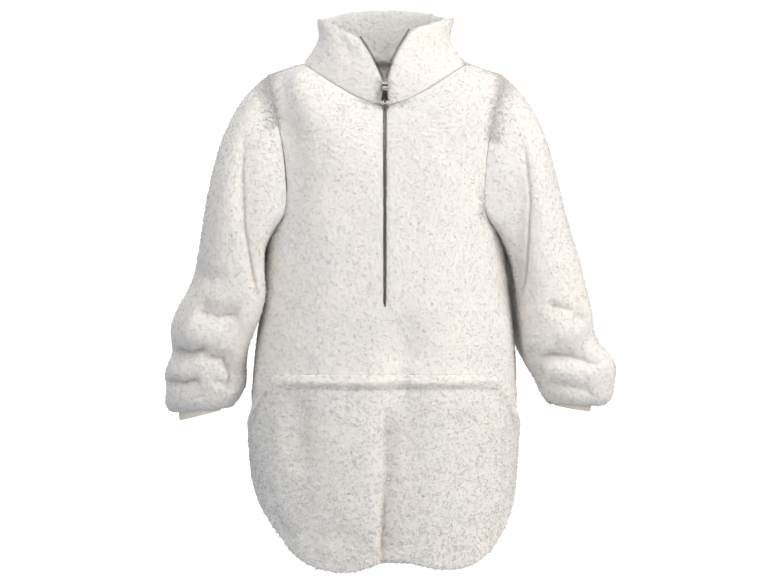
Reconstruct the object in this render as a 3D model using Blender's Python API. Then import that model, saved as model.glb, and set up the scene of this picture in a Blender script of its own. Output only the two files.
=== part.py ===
"""Half-zip pile pullover with a stand collar and a wide pocket, filled out as worn.

The tables are in millimetres. The front faces -Y, +Z is up, and the garment's own left is +X. The
origin is the middle of the neck's base, where the shoulders carry the garment.
"""
import math

import bmesh
import bpy
import numpy as np

MM = 0.001
SEAM_GAP = 0.3
PILE_WALL = 6.0
SLIT_EDGE_WALL = 3.0
COLLAR_WALL = 10.0
CUFF_WALL = 3.0
EDGE_ROUND = 0.35

# Columns of the body from the centre line out, up to the armhole line and then on to the side seam
NECK_COLUMNS = 7
ARMHOLE_COLUMN = 8
SIDE_COLUMN = 11
UPPER_ROWS = 11
BODY_SQUARENESS = 2.4
ARMHOLE_SHARE = 0.63
POCKET_SHARE = 0.965

# Way in which the upper columns reach the neck, at the centre line and beside the neck
NECK_LEAN = -0.55
CENTRE_ARRIVAL = {"front": (0.42, 0.91), "back": (-0.30, 0.95)}
SIDE_ARRIVAL = {"front": (0.9, 0.18), "back": (-0.9, 0.14)}
RISE_REACH = (0.36, 0.16)
ARRIVAL_REACH = (0.30, 0.10)
ARRIVAL_TURN_POWER = 1.3
COLLAR_SIDE_POWER = 3
COLLAR_FRONT_POWER = 1.4
ARMHOLE_KEEP = (0.55, 0.22, 0.06)
FOLD_EASE = 60.0

SLIT_HALF_WIDTH = 3.5
SLIT_EDGE_BULGE = 1.0
ZIP_BOTTOM_Z = -386.0
POCKET_TOP_Z = -490.0
POCKET_SIDE_Z = -602.0

# z, half width on -X, half width on +X, front depth, back depth
BODY_SECTIONS = (
    (-240, 188, 190, -131, 118),
    (-300, 190, 192, -135, 120),
    (-386, 197, 201, -138, 121),
    (-450, 206, 207, -140, 122),
    (-534, 213, 210, -143, 124),
    (-600, 213, 208, -145, 126),
    (-640, 209, 205, -147, 127),
    (-700, 204, 204, -149, 128),
    (-810, 198, 198, -151, 130),
)

# column, height of the armhole's lower curve
ARMHOLE_FOOT = ((8, -240), (9, -266), (10, -289), (11, -300))

# distance from the centre line, hem height
HEM_FRONT_LEFT = ((0, -769), (24, -786), (60, -790), (96, -788), (133, -773), (160, -742), (181, -715),
                  (194, -692), (201, -668), (204, -645))
HEM_FRONT_RIGHT = ((0, -769), (22, -769), (40, -773), (60, -781), (88, -787), (133, -784), (160, -766),
                   (181, -741), (196, -710), (202, -674), (204, -645))
HEM_BACK = ((0, -811), (55, -812), (90, -806), (127, -787), (157, -758), (180, -724), (195, -694),
            (202, -668), (204, -645))

# heights of the rows between the slit's foot and the pocket's stitched edge
BAND_LEVELS = (-386, -412, -438, -464, -490, -500, -511, -526)
ROWS_ABOVE_SLIT_FOOT = 5
ROWS_TO_HEM = 9

# Neck seam and collar, a row for each step up; x_left and x_right are the front edges' distances
# from the centre line on -X and +X
COLLAR_SECTIONS = (
    # a_left, a_right, y_side, y_front, y_back, z_side, z_front_left, z_front_right, z_back, x_left, x_right
    (131, 131, -3, -97, 78, 3, -73, -73, 12, 3.5, 3.5),
    (122, 120, -2, -100, 80, 16, -54, -54, 29, 3.5, 3.5),
    (113, 110, -2, -102, 82, 29, -35, -34, 46, 4.0, 4.0),
    (106, 103, -2, -101, 84, 43, -8, -4, 63, 17.0, 14.0),
    (106, 106, -3, -98, 86, 58, 16, 24, 81, 31.0, 29.0),
    (110, 112, -4, -93, 88, 71, 37, 49, 98, 44.0, 44.0),
)
NECK_SQUARENESS = 2.3

SHOULDER_TIP = (188.0, 0.0, -15.0)

# ring: outer point x, z, inner point x, z, front depth, back depth, and how far the inner side
# laps over the body, in front of it if above 0 and behind it if below
SLEEVE_RIGHT_RINGS = (
    # right sleeve on -X, distances from the centre line
    (188, -15, 195, -300, -120, 108, 0),
    (222, -43, 201, -313, -121, 109, 4),
    (247, -86, 203, -332, -120, 108, 12),
    (267, -140, 204, -350, -118, 104, 22),
    (281, -200, 206, -368, -114, 99, 29),
    (290, -260, 209, -385, -110, 93, 31),
    (298, -312, 212, -403, -106, 88, 28),
    (307, -352, 216, -422, -102, 84, 22),
    (331, -386, 219, -442, -98, 82, 14),
    (345, -424, 221, -463, -95, 80, 6),
    (333, -459, 222, -482, -86, 70, 0),
    (355, -486, 220, -505, -88, 71, 0),
    (345, -512, 227, -522, -77, 60, 0),
    (353, -536, 237, -537, -74, 57, 0),
    (345, -552, 247, -547, -58, 42, 0),
    (332.5, -553, 258.3, -543, -44.9, 28.9, 0),
)
SLEEVE_LEFT_RINGS = (
    # left sleeve on +X
    (188, -15, 195, -300, -118, 110, 0),
    (225, -45, 201, -315, -112, 112, -4),
    (250, -95, 204, -336, -106, 112, -12),
    (264, -136, 206, -355, -100, 112, -20),
    (277, -188, 208, -373, -95, 112, -26),
    (288, -234, 210, -390, -91, 110, -29),
    (300, -275, 212, -407, -87, 107, -30),
    (313, -314, 214, -423, -84, 104, -28),
    (320, -350, 216, -437, -82, 101, -22),
    (331, -386, 217, -451, -80, 98, -14),
    (333, -414, 219, -463, -76, 92, -6),
    (338, -440, 224, -475, -68, 84, 0),
    (367, -464, 231, -487, -74, 89, 0),
    (371, -490, 241, -503, -72, 86, 0),
    (366, -510, 247, -518, -64, 78, 0),
    (366, -530, 254, -531, -60, 74, 0),
    (350, -544, 263, -539, -45, 58, 0),
    (333.5, -542, 268.3, -534, -28.0, 43.0, 0),
)
SLEEVE_SQUARENESS = 2.35

# ring of a cuff: outer point x, z, inner point x, z
CUFF_RIGHT_RINGS = ((332, -512, 263, -503), (330, -541, 261.5, -530), (329, -567, 260.5, -550))
CUFF_LEFT_RINGS = ((334, -505, 273, -499), (332, -531, 271.5, -523), (330, -554, 269.5, -543))
CUFF_RIGHT_DEPTHS = (-42.5, 26.5)
CUFF_LEFT_DEPTHS = (-25.5, 40.5)
CUFF_RIBS = 34
CUFF_RIB_RISE = 0.8

# front folds: centre x, half width, top z, foot z, depth pushed in
FRONT_FOLDS = (
    (24, 20, -400, -830, 15),
    (-134, 14, -515, -720, 6),
    (30, 26, -395, -470, 5),
)
POCKET_BAND_RISE = {-500: 3.0, -511: -2.0}

ZIP_INSET = 1.9
CHAIN_HALF_WIDTH = 2.1
CHAIN_DEPTH = 2.6
TAPE_WALL = 0.8
TAPE_SHARE = 0.42
ROW_WIDTH = 2.4
SLIDER_TOP_Z = -35.0
SLIDER_LENGTH = 13.0
SLIDER_WIDTH = 9.4
SLIDER_WALL = 2.4
SLIDER_STEM = 3.2
PIN_Z = -45.0
PIN_STAND = 2.7
PULL_LENGTH = 26.0
PULL_EYE_RADIUS = 2.1
LUG_NEAR = 3.4
LUG_FAR = 4.6
LUG_HALF = 1.7
LUG_SPARE = 0.7
LUG_SINK = 0.6
STOP_WIDTH = 4.4
STOP_FOOT = 1.8
CHAIN_FOOT = 5.0
PULL_TOP_WIDTH = 6.0
PULL_FOOT_WIDTH = 12.0
PULL_WALL = 1.8
PULL_HOLE_WIDTH = 3.6
PIN_RADIUS = 0.9

COLOURS = {
    "pile": (0.86, 0.83, 0.78, 1.0),
    "pile_collar": (0.85, 0.82, 0.77, 1.0),
    "rib": (0.83, 0.76, 0.66, 1.0),
    "metal": (0.30, 0.29, 0.28, 1.0),
    "tape": (0.72, 0.70, 0.66, 1.0),
}


def clear_scene():
    """Remove whatever the scene starts with."""
    for item in list(bpy.data.objects):
        bpy.data.objects.remove(item, do_unlink=True)


def curve_share(a, b, share, squareness):
    """Point on a quarter of a rounded section at a share of its length, from the centre to the side."""
    t = np.linspace(0.0, math.pi / 2, 161)
    x = a * np.sin(t) ** (2 / squareness)
    y = b * np.cos(t) ** (2 / squareness)
    run = np.concatenate([[0.0], np.cumsum(np.hypot(np.diff(x), np.diff(y)))])
    at = share * run[-1]
    return float(np.interp(at, run, x)), float(np.interp(at, run, y))


def smooth_step(t):
    """Ease from 0 to 1."""
    t = min(max(t, 0.0), 1.0)
    return t * t * (3 - 2 * t)


def body_section(z):
    """Half widths and depths of the body at one height."""
    table = np.array(BODY_SECTIONS[::-1], float)
    return [float(np.interp(z, table[:, 0], table[:, k])) for k in range(1, 5)]


def hem_height(side, face, x):
    """Height of the hem at a distance from the centre line."""
    table = HEM_BACK if face == "back" else HEM_FRONT_LEFT if side < 0 else HEM_FRONT_RIGHT
    return float(np.interp(abs(x), [row[0] for row in table], [row[1] for row in table]))


def column_share(face, column, z):
    """Share of the quarter section at which a column runs; the front's follow the pocket's edge."""
    share = ARMHOLE_SHARE
    if face == "front":
        way = smooth_step((POCKET_TOP_Z - z) / (POCKET_TOP_Z - POCKET_SIDE_Z))
        share = ARMHOLE_SHARE + (POCKET_SHARE - ARMHOLE_SHARE) * way
    if column <= ARMHOLE_COLUMN:
        return share * column / ARMHOLE_COLUMN
    beyond = (column - ARMHOLE_COLUMN) / (SIDE_COLUMN - ARMHOLE_COLUMN)
    return share + (1 - share) * beyond


def front_fold(x, z):
    """Depth that the front's folds push a point in."""
    push = 0.0
    for centre, half, top, foot, depth in FRONT_FOLDS:
        across = math.exp(-((x - centre) / half) ** 2)
        push += depth * across * smooth_step((top - z) / FOLD_EASE) * smooth_step((z - foot) / FOLD_EASE)
    return push


def body_point(side, face, column, z):
    """Outer point of the body on one column at one height."""
    left, right, front, back = body_section(z)
    a = left if side < 0 else right
    b = -front if face == "front" else back
    x, y = curve_share(a, b, column_share(face, column, z), BODY_SQUARENESS)
    x *= side
    y = -y if face == "front" else y
    if face == "front":
        y += front_fold(x, z)
    return np.array([x, y, z])


def lower_levels(side, face, column):
    """Heights of a column's rows from the hem up to the foot of the upper block."""
    foot = dict(ARMHOLE_FOOT).get(column, ARMHOLE_FOOT[0][1])
    x = body_point(side, face, column, -700)[0]
    hem = hem_height(side, face, x)
    down = [BAND_LEVELS[-1] + (hem - BAND_LEVELS[-1]) * k / ROWS_TO_HEM for k in range(ROWS_TO_HEM, 0, -1)]
    up = [BAND_LEVELS[0] + (foot - BAND_LEVELS[0]) * k / ROWS_ABOVE_SLIT_FOOT
          for k in range(1, ROWS_ABOVE_SLIT_FOOT + 1)]
    return down + list(BAND_LEVELS[::-1]) + up


def collar_point(side, face, share, row):
    """Outer point of the neck or collar: share runs from the front or back centre to the side."""
    (left, right, y_side, y_front, y_back, z_side, z_left, z_right, z_back, x_left, x_right) = row
    a = left if side < 0 else right
    if face == "back":
        x, y = curve_share(a, y_back - y_side, share, NECK_SQUARENESS)
        return np.array([side * x, y_side + y, z_back + (z_side - z_back) * (x / a) ** COLLAR_SIDE_POWER])
    edge = x_left if side < 0 else x_right
    z_front = z_left if side < 0 else z_right
    first = 0.0
    for step in range(400):
        first = step / 400
        if curve_share(a, y_side - y_front, first, NECK_SQUARENESS)[0] >= edge:
            break
    x, y = curve_share(a, y_side - y_front, first + (1 - first) * share, NECK_SQUARENESS)
    x = edge if share == 0 else x
    rise = ((x - edge) / (a - edge)) ** COLLAR_FRONT_POWER if x > edge else 0.0
    return np.array([side * x, y_side - y, z_front + (z_side - z_front) * rise])


def neck_point(side, face, column):
    """Top end of an upper column, on the neck seam or at the shoulder's tip."""
    if column <= NECK_COLUMNS:
        return collar_point(side, face, column / NECK_COLUMNS, COLLAR_SECTIONS[0])
    return np.array([side * SHOULDER_TIP[0], SHOULDER_TIP[1], SHOULDER_TIP[2]])


def upper_path(side, face, column):
    """Points of an upper column from the armhole's foot level to the neck or shoulder."""
    start = body_point(side, face, column, ARMHOLE_FOOT[0][1])
    if column == 0 and face == "front":
        start[0] = side * SLIT_HALF_WIDTH
    end = neck_point(side, face, column)
    below = body_point(side, face, column, -300)
    rise = start - below
    if column == 0 and face == "front":
        rise[0] = 0.0
    rise = rise / np.linalg.norm(rise)
    turn = min(1.0, abs(end[0]) / COLLAR_SECTIONS[0][0]) ** ARRIVAL_TURN_POWER
    lean = NECK_LEAN * side if column <= NECK_COLUMNS else 0.0
    steep = np.array([0.0, *CENTRE_ARRIVAL[face]])
    flat = np.array([lean, *SIDE_ARRIVAL[face]])
    arrive = steep * (1 - turn) + flat * turn
    arrive = arrive / np.linalg.norm(arrive)
    reach = np.linalg.norm(end - start)
    one = start + rise * reach * (RISE_REACH[0] + RISE_REACH[1] * turn)
    two = end - arrive * reach * (ARRIVAL_REACH[0] + ARRIVAL_REACH[1] * turn)
    path = []
    for k in range(UPPER_ROWS + 1):
        t = k / UPPER_ROWS
        path.append((1 - t) ** 3 * start + 3 * (1 - t) ** 2 * t * one + 3 * (1 - t) * t * t * two + t ** 3 * end)
    return path


def distance(points, one, two):
    """Length between two numbered points."""
    return np.linalg.norm(points[one] - points[two])


class Skin:
    """Outer points shared by all panels, so that the walls' directions agree along every seam."""

    def __init__(self):
        self.points = []
        self.lookup = {}
        self.panels = {}

    def add(self, point):
        key = tuple(round(float(v), 3) for v in point)
        if key not in self.lookup:
            self.lookup[key] = len(self.points)
            self.points.append(np.array(point, float))
        return self.lookup[key]

    def face(self, panel, corners, turn=False):
        loop = []
        for corner in corners:
            if corner not in loop:
                loop.append(corner)
        if len(loop) > 2:
            self.panels.setdefault(panel, []).append(tuple(loop[::-1] if turn else loop))

    def grid(self, panel, lines, turn=False):
        """Quads between neighbouring lines of points."""
        numbers = [[self.add(p) for p in line] for line in lines]
        for one, two in zip(numbers, numbers[1:]):
            for k in range(len(one) - 1):
                self.face(panel, (one[k], one[k + 1], two[k + 1], two[k]), turn)
        return numbers

    def normals(self):
        """One outward direction for each point, from all the faces round it."""
        points = np.array(self.points)
        total = np.zeros_like(points)
        for faces in self.panels.values():
            for loop in faces:
                corners = points[list(loop)]
                way = np.zeros(3)
                for k in range(1, len(loop) - 1):
                    way += np.cross(corners[k] - corners[0], corners[k + 1] - corners[0])
                length = np.linalg.norm(way)
                for k, number in enumerate(loop):
                    before = corners[k - 1] - corners[k]
                    after = corners[(k + 1) % len(loop)] - corners[k]
                    cosine = before @ after / (np.linalg.norm(before) * np.linalg.norm(after) + 1e-12)
                    total[number] += way / (length + 1e-12) * math.acos(max(-1.0, min(1.0, cosine)))
        return total / np.maximum(np.linalg.norm(total, axis=1), 1e-9)[:, None]


def wall_mesh(name, skin, normals, thick, seams, bulge_cap, colour, roughness):
    """Close one panel of the skin as a wall: outer points, inner points and a rim along every edge.

    Returns the middle of the rim at each point of a free edge, with the direction out of the cloth.
    """
    points = np.array(skin.points)
    faces = skin.panels[name]
    used = {}
    for loop in faces:
        for k, a in enumerate(loop):
            b = loop[(k + 1) % len(loop)]
            used.setdefault((min(a, b), max(a, b)), []).append((a, b, loop))
    border = {key: uses[0] for key, uses in used.items() if len(uses) == 1}
    inward = {}
    free = {}
    for key, (a, b, loop) in border.items():
        along = points[b] - points[a]
        along = along / np.linalg.norm(along)
        up = normals[a] + normals[b]
        side = np.cross(up, along)
        centre = points[list(loop)].mean(axis=0) - (points[a] + points[b]) / 2
        side = side - along * (side @ along)
        side = side / np.linalg.norm(side)
        if side @ centre < 0:
            side = -side
        sewn = key in seams
        for end in (a, b):
            inward.setdefault(end, []).append((side, sewn))
            free[end] = free.get(end, True) and not sewn
    outer = {}
    inner = {}
    middle = {}
    ways_out = {}
    vertices = []
    for number in sorted({n for loop in faces for n in loop}):
        place = points[number].copy()
        ways = [way for way, sewn in inward.get(number, []) if sewn]
        if ways:
            total = sum(ways)
            spread = max(0.35, float(total @ ways[0]))
            place = place + total * (SEAM_GAP / 2) / spread
        deep = thick(number) if callable(thick) else thick
        outer[number] = len(vertices)
        vertices.append(place)
        inner[number] = len(vertices)
        vertices.append(place - normals[number] * deep)
        if number in inward:
            centre = place - normals[number] * deep / 2
            if free[number]:
                way = sum(way for way, sewn in inward[number])
                ways_out[number] = way / np.linalg.norm(way)
                centre = centre - ways_out[number] * min(deep * EDGE_ROUND, bulge_cap.get(number, deep))
            middle[number] = len(vertices)
            vertices.append(centre)
    triangles = []
    for loop in faces:
        if len(loop) == 3:
            cuts = [loop]
        elif distance(points, loop[0], loop[2]) <= distance(points, loop[1], loop[3]):
            cuts = [(loop[0], loop[1], loop[2]), (loop[0], loop[2], loop[3])]
        else:
            cuts = [(loop[0], loop[1], loop[3]), (loop[1], loop[2], loop[3])]
        for cut in cuts:
            triangles.append([outer[n] for n in cut])
            triangles.append([inner[n] for n in cut[::-1]])
    for a, b, loop in border.values():
        for top, foot in ((outer, middle), (middle, inner)):
            if a < b:
                triangles += [[top[b], top[a], foot[a]], [top[b], foot[a], foot[b]]]
            else:
                triangles += [[top[b], top[a], foot[b]], [top[a], foot[a], foot[b]]]
    solid(name, vertices, triangles, colour, roughness, 0.0)
    return {n: (vertices[middle[n]], -ways_out[n]) for n in middle if free[n]}


def solid(name, vertices, triangles, colour, roughness, metallic):
    """One named object with its own material from points in millimetres."""
    mesh = bpy.data.meshes.new(name)
    mesh.from_pydata([tuple(float(v) * MM for v in p) for p in vertices], [], [tuple(t) for t in triangles])
    mesh.validate()
    mesh.polygons.foreach_set("use_smooth", [True] * len(mesh.polygons))
    mesh.update()
    item = bpy.data.objects.new(name, mesh)
    bpy.context.scene.collection.objects.link(item)
    material = bpy.data.materials.new(name + "_material")
    material.use_nodes = True
    shader = material.node_tree.nodes["Principled BSDF"]
    shader.inputs["Base Color"].default_value = COLOURS[colour]
    shader.inputs["Roughness"].default_value = roughness
    shader.inputs["Metallic"].default_value = metallic
    mesh.materials.append(material)
    return item


def body_columns(side, face):
    """Every column of a body quarter, from the hem up."""
    columns = []
    for column in range(SIDE_COLUMN + 1):
        line = [body_point(side, face, column, z) for z in lower_levels(side, face, column)]
        if face == "front" and column == 0:
            for k, point in enumerate(line):
                if point[2] >= ZIP_BOTTOM_Z - 0.01:
                    point[0] = side * SLIT_HALF_WIDTH
        columns.append(line)
    return columns


def add_body(skin):
    """Front and back panels; returns each side's armhole loop as point numbers."""
    armholes = {}
    for face in ("front", "back"):
        foot_points = {}
        for side in (-1, 1):
            turn = (face == "front") == (side > 0)
            lower = body_columns(side, face)
            numbers = skin.grid(face, lower, turn)
            upper = [upper_path(side, face, column) for column in range(ARMHOLE_COLUMN + 1)]
            high = skin.grid(face, upper, turn)
            under = [numbers[column][-1] for column in range(ARMHOLE_COLUMN + 1, SIDE_COLUMN + 1)]
            edge = high[ARMHOLE_COLUMN][::-1] + under
            armholes[(side, face)] = edge
            foot_points[side] = numbers[0]
        if face == "front":
            level = next(k for k, n in enumerate(foot_points[1]) if skin.points[n][0] > 1)
            skin.face(face, (foot_points[-1][level - 1], foot_points[1][level], foot_points[-1][level]))
    return armholes


def add_collar(skin):
    """Stand collar from the neck seam up, from one front edge round the back to the other."""
    lines = []
    for row in COLLAR_SECTIONS:
        line = [collar_point(-1, "front", k / NECK_COLUMNS, row) for k in range(NECK_COLUMNS + 1)]
        line += [collar_point(-1, "back", k / NECK_COLUMNS, row) for k in range(NECK_COLUMNS - 1, -1, -1)]
        line += [collar_point(1, "back", k / NECK_COLUMNS, row) for k in range(1, NECK_COLUMNS + 1)]
        line += [collar_point(1, "front", k / NECK_COLUMNS, row) for k in range(NECK_COLUMNS - 1, -1, -1)]
        lines.append(line)
    return skin.grid("collar", lines, turn=True)


def ring_place(ring, side, angle, squareness):
    """Point of a sleeve ring: angle 0 is its outer side, a quarter turn on is its front."""
    xo, zo, xi, zi, front, back, lean = ring
    centre = np.array([(xo + xi) / 2, (front + back) / 2, (zo + zi) / 2])
    half = np.array([(xo - xi) / 2, 0, (zo - zi) / 2])
    c, s = math.cos(angle), math.sin(angle)
    across = math.copysign(abs(c) ** (2 / squareness), c)
    deep = math.copysign(abs(s) ** (2 / squareness), s)
    place = centre + half * across
    place[1] -= (back - front) / 2 * deep
    if c < 0 and lean * s > 0:
        place[0] -= abs(lean) * 2 * abs(s * c)
    place[0] *= side
    return place


def even_angles(ring, squareness, count):
    """Angles that part a ring into even lengths."""
    fine = np.linspace(0, 2 * math.pi, 721)
    path = np.array([ring_place(ring, 1, a, squareness) for a in fine])
    run = np.concatenate([[0.0], np.cumsum(np.linalg.norm(np.diff(path, axis=0), axis=1))])
    return np.interp(np.arange(count) / count * run[-1], run, fine)


def add_sleeve(skin, name, side, rings, front_edge, back_edge):
    """Sleeve rings from the armhole's loop down to the mouth over the cuff."""
    loop = front_edge + back_edge[::-1][1:-1]
    start = [skin.points[n] for n in loop]
    count = len(loop)
    first = rings[0]
    centre = ring_place(first, side, 0, 2) + ring_place(first, side, math.pi, 2)
    centre = centre / 2
    half = ring_place(first, side, 0, 2) - centre
    deep = (first[5] - first[4]) / 2
    angles = []
    for place in start:
        away = place - centre
        angle = math.atan2(-away[1] / deep, away @ half / (half @ half))
        angles.append(angle % (2 * math.pi))
    angles[0] = 0.0
    lines = [start]
    for k, ring in enumerate(rings[1:], 1):
        left = len(rings) - 1 - k
        square = SLEEVE_SQUARENESS if left > 2 else 2.0 + (SLEEVE_SQUARENESS - 2.0) * left / 3
        even = even_angles(ring, square, count)
        share = smooth_step(k / 5)
        keep = ARMHOLE_KEEP[k - 1] if k <= len(ARMHOLE_KEEP) else 0.0
        line = []
        for n in range(count):
            angle = angles[n] * (1 - share) + even[n] * share
            place = ring_place(ring, side, angle, square)
            if keep:
                place = place + (start[n] - ring_place(first, side, angles[n], SLEEVE_SQUARENESS)) * keep
            line.append(place)
        lines.append(line)
    closed = [line + [line[0]] for line in lines]
    skin.grid(name, closed, turn=side < 0)


def seam_edges(skin):
    """Edges that two panels share."""
    owners = {}
    for panel, faces in skin.panels.items():
        for loop in faces:
            for k, a in enumerate(loop):
                b = loop[(k + 1) % len(loop)]
                owners.setdefault((min(a, b), max(a, b)), set()).add(panel)
    return {edge for edge, panels in owners.items() if len(panels) > 1}


def cuff(name, side, rings, depths):
    """Rib cuff: ribs stand on the outer side over a plain inner side."""
    count = CUFF_RIBS * 2
    outer = []
    inner = []
    for xo, zo, xi, zi in rings:
        full = (xo, zo, xi, zi, depths[0], depths[1], 0)
        slope = (zo - zi) / (xo - xi)
        slim, groove = [(xo - d, zo - d * slope, xi + d, zi + d * slope, depths[0] + d, depths[1] - d, 0)
                        for d in (CUFF_WALL, CUFF_RIB_RISE)]
        angles = even_angles(full, 2.0, count)
        outer.append([ring_place(full if k % 2 else groove, side, a, 2.0) for k, a in enumerate(angles)])
        inner.append([ring_place(slim, side, a, 2.0) for a in angles])
    around = outer + inner[::-1]
    vertices = [p for line in around for p in line]
    triangles = []
    for row in range(len(around)):
        after = (row + 1) % len(around)
        for k in range(count):
            n = (k + 1) % count
            a, b = row * count + k, row * count + n
            c, d = after * count + n, after * count + k
            corners = [(a, b, c), (a, c, d)]
            triangles += [t if side > 0 else t[::-1] for t in corners]
    return solid(name, vertices, triangles, "rib", 0.85, 0.0)


def pocket(skin, normals):
    """Wide pocket made from the front's own points, moved out past the front's pile."""
    lift = Skin()
    place_of = {}
    for side in (-1, 1):
        out = []
        for line in body_columns(side, "front")[: ARMHOLE_COLUMN + 1]:
            new = []
            for point in line:
                if point[2] > POCKET_TOP_Z + 0.5:
                    continue
                number = skin.add(point)
                rise = POCKET_BAND_RISE.get(int(round(point[2])), 0.0)
                moved = point + normals[number] * (SEAM_GAP + PILE_WALL + rise)
                new.append(moved)
                key = tuple(round(float(v), 3) for v in moved)
                place_of[key] = (number, rise)
            out.append(new)
        lift.grid("pocket", out, turn=side > 0)
    own = np.zeros((len(lift.points), 3))
    deep = np.zeros(len(lift.points))
    for key, number in lift.lookup.items():
        source, rise = place_of[key]
        own[number] = normals[source]
        deep[number] = PILE_WALL + rise
    wall_mesh("pocket", lift, own, lambda n: deep[n], set(), {}, "pile", 0.95)


def zip_path(skin, normals):
    """Points and directions up the slit's middle, from its foot to the slider."""
    path = []
    for point in body_columns(1, "front")[0] + upper_path(1, "front", 0):
        if point[2] >= ZIP_BOTTOM_Z - 0.01:
            path.append(point)
    path = [p for k, p in enumerate(path) if k == 0 or p[2] - path[k - 1][2] > 0.5]
    for row in COLLAR_SECTIONS[1:3]:
        path.append(collar_point(1, "front", 0, row))
    middle = []
    for point in path:
        way = normals[skin.add(point)].copy()
        way[0] = 0.0
        way = way / np.linalg.norm(way)
        middle.append((np.array([0.0, point[1], point[2]]), way))
    return middle


def bar(name, path, half_width, near, far, colour, roughness, metallic, offset=0.0):
    """Straight-sided bar along a path, near and far measured inwards from the path."""
    vertices = []
    for place, way in path:
        for x, deep in ((-half_width, near), (half_width, near), (half_width, far), (-half_width, far)):
            vertices.append(place + np.array([x + offset, 0, 0]) - way * deep)
    return solid(name, vertices, box_sides(len(path), False), colour, roughness, metallic)


def cut_path(path, low, high):
    """Part of a path between two heights, with its ends worked out on it."""
    heights = [place[2] for place, way in path]
    out = []
    for z in [low] + [h for h in heights if low + 0.5 < h < high - 0.5] + [high]:
        place = np.array([np.interp(z, heights, [p[k] for p, w in path]) for k in range(3)])
        way = np.array([np.interp(z, heights, [w[k] for p, w in path]) for k in range(3)])
        out.append((place, way / np.linalg.norm(way)))
    return out


def zip_tape(name, side, skin, normals):
    """Tape behind the front, made from its inner points beside the slit."""
    first = []
    second = []
    for column, store in ((0, first), (1, second)):
        line = body_columns(side, "front")[column] + upper_path(side, "front", column)[1:]
        for point in line:
            if point[2] > ZIP_BOTTOM_Z - 5:
                number = skin.add(point)
                deep = SLIT_EDGE_WALL if column == 0 else PILE_WALL
                store.append((point - normals[number] * (deep + SEAM_GAP), normals[number]))
    count = min(len(first), len(second))
    vertices = []
    for k in range(count):
        (a, way_a), (b, way_b) = first[-count + k], second[-count + k]
        inner = a + (b - a) * ((CHAIN_HALF_WIDTH + SEAM_GAP - SLIT_HALF_WIDTH) / (abs(b[0]) - SLIT_HALF_WIDTH))
        outer = a + (b - a) * TAPE_SHARE
        if k == count - 1:
            drop = np.array([0, 0, -1.5])
            inner, outer = inner + drop, outer + drop
        vertices += [inner, outer, outer - way_a * TAPE_WALL, inner - way_a * TAPE_WALL]
    return solid(name, vertices, box_sides(count, side < 0), "tape", 0.8, 0.0)


def open_row(name, side, rim):
    """Open row of teeth along one front edge of the collar, above the slider, made from its rim."""
    path = rim[1:]
    vertices = []
    for k, (number, place, beside, way) in enumerate(path):
        if k == 0:
            place = place + np.array([0, 0, 4.0])
        if k == len(path) - 1:
            place = place - (place - path[k - 1][1]) * 0.06
        half = ROW_WIDTH / 2
        near, far = SEAM_GAP, SEAM_GAP + ROW_WIDTH * (0.8 if k == 0 else 1.0)
        for out, deep in ((near, -half), (far, -half), (far, half), (near, half)):
            vertices.append(place + beside * out - way * deep)
    triangles = box_sides(len(path), side > 0)
    return solid(name, vertices, triangles, "metal", 0.4, 0.9)


def box_sides(count, turn):
    """Triangles of a closed four-sided bar of several stations."""
    triangles = []
    for k in range(count - 1):
        for j in range(4):
            a, b = k * 4 + j, k * 4 + (j + 1) % 4
            c, d = b + 4, a + 4
            triangles += [(a, b, c), (a, c, d)]
    end = (count - 1) * 4
    triangles += [(0, 2, 1), (0, 3, 2), (end, end + 1, end + 2), (end, end + 2, end + 3)]
    return [t[::-1] for t in triangles] if turn else triangles


def block(low, high):
    """Points and triangles of a straight block between two corners."""
    (x0, y0, z0), (x1, y1, z1) = low, high
    vertices = [(x, y, z) for z in (z0, z1) for x, y in ((x0, y0), (x1, y0), (x1, y1), (x0, y1))]
    return vertices, box_sides(2, False)


def prism(outline, low, high, axis):
    """Points and triangles of a flat outline carried along one axis, with a point at each cap's middle."""
    count = len(outline)
    middle = np.mean(np.array(outline, float), axis=0)
    vertices = []
    for level in (low, high):
        for pair in list(outline) + [tuple(middle)]:
            place = list(pair)
            place.insert(axis, level)
            vertices.append(tuple(place))
    triangles = []
    for k in range(count):
        n = (k + 1) % count
        a, b, c, d = k, n, n + count + 1, k + count + 1
        triangles += [(a, b, c), (a, c, d), (b, a, count), (d, c, 2 * count + 1)]
    return vertices, triangles


def circle(centre, radius, count):
    """Points round a circle in a plane."""
    return [(centre[0] + radius * math.cos(2 * math.pi * k / count),
             centre[1] + radius * math.sin(2 * math.pi * k / count)) for k in range(count)]


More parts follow.
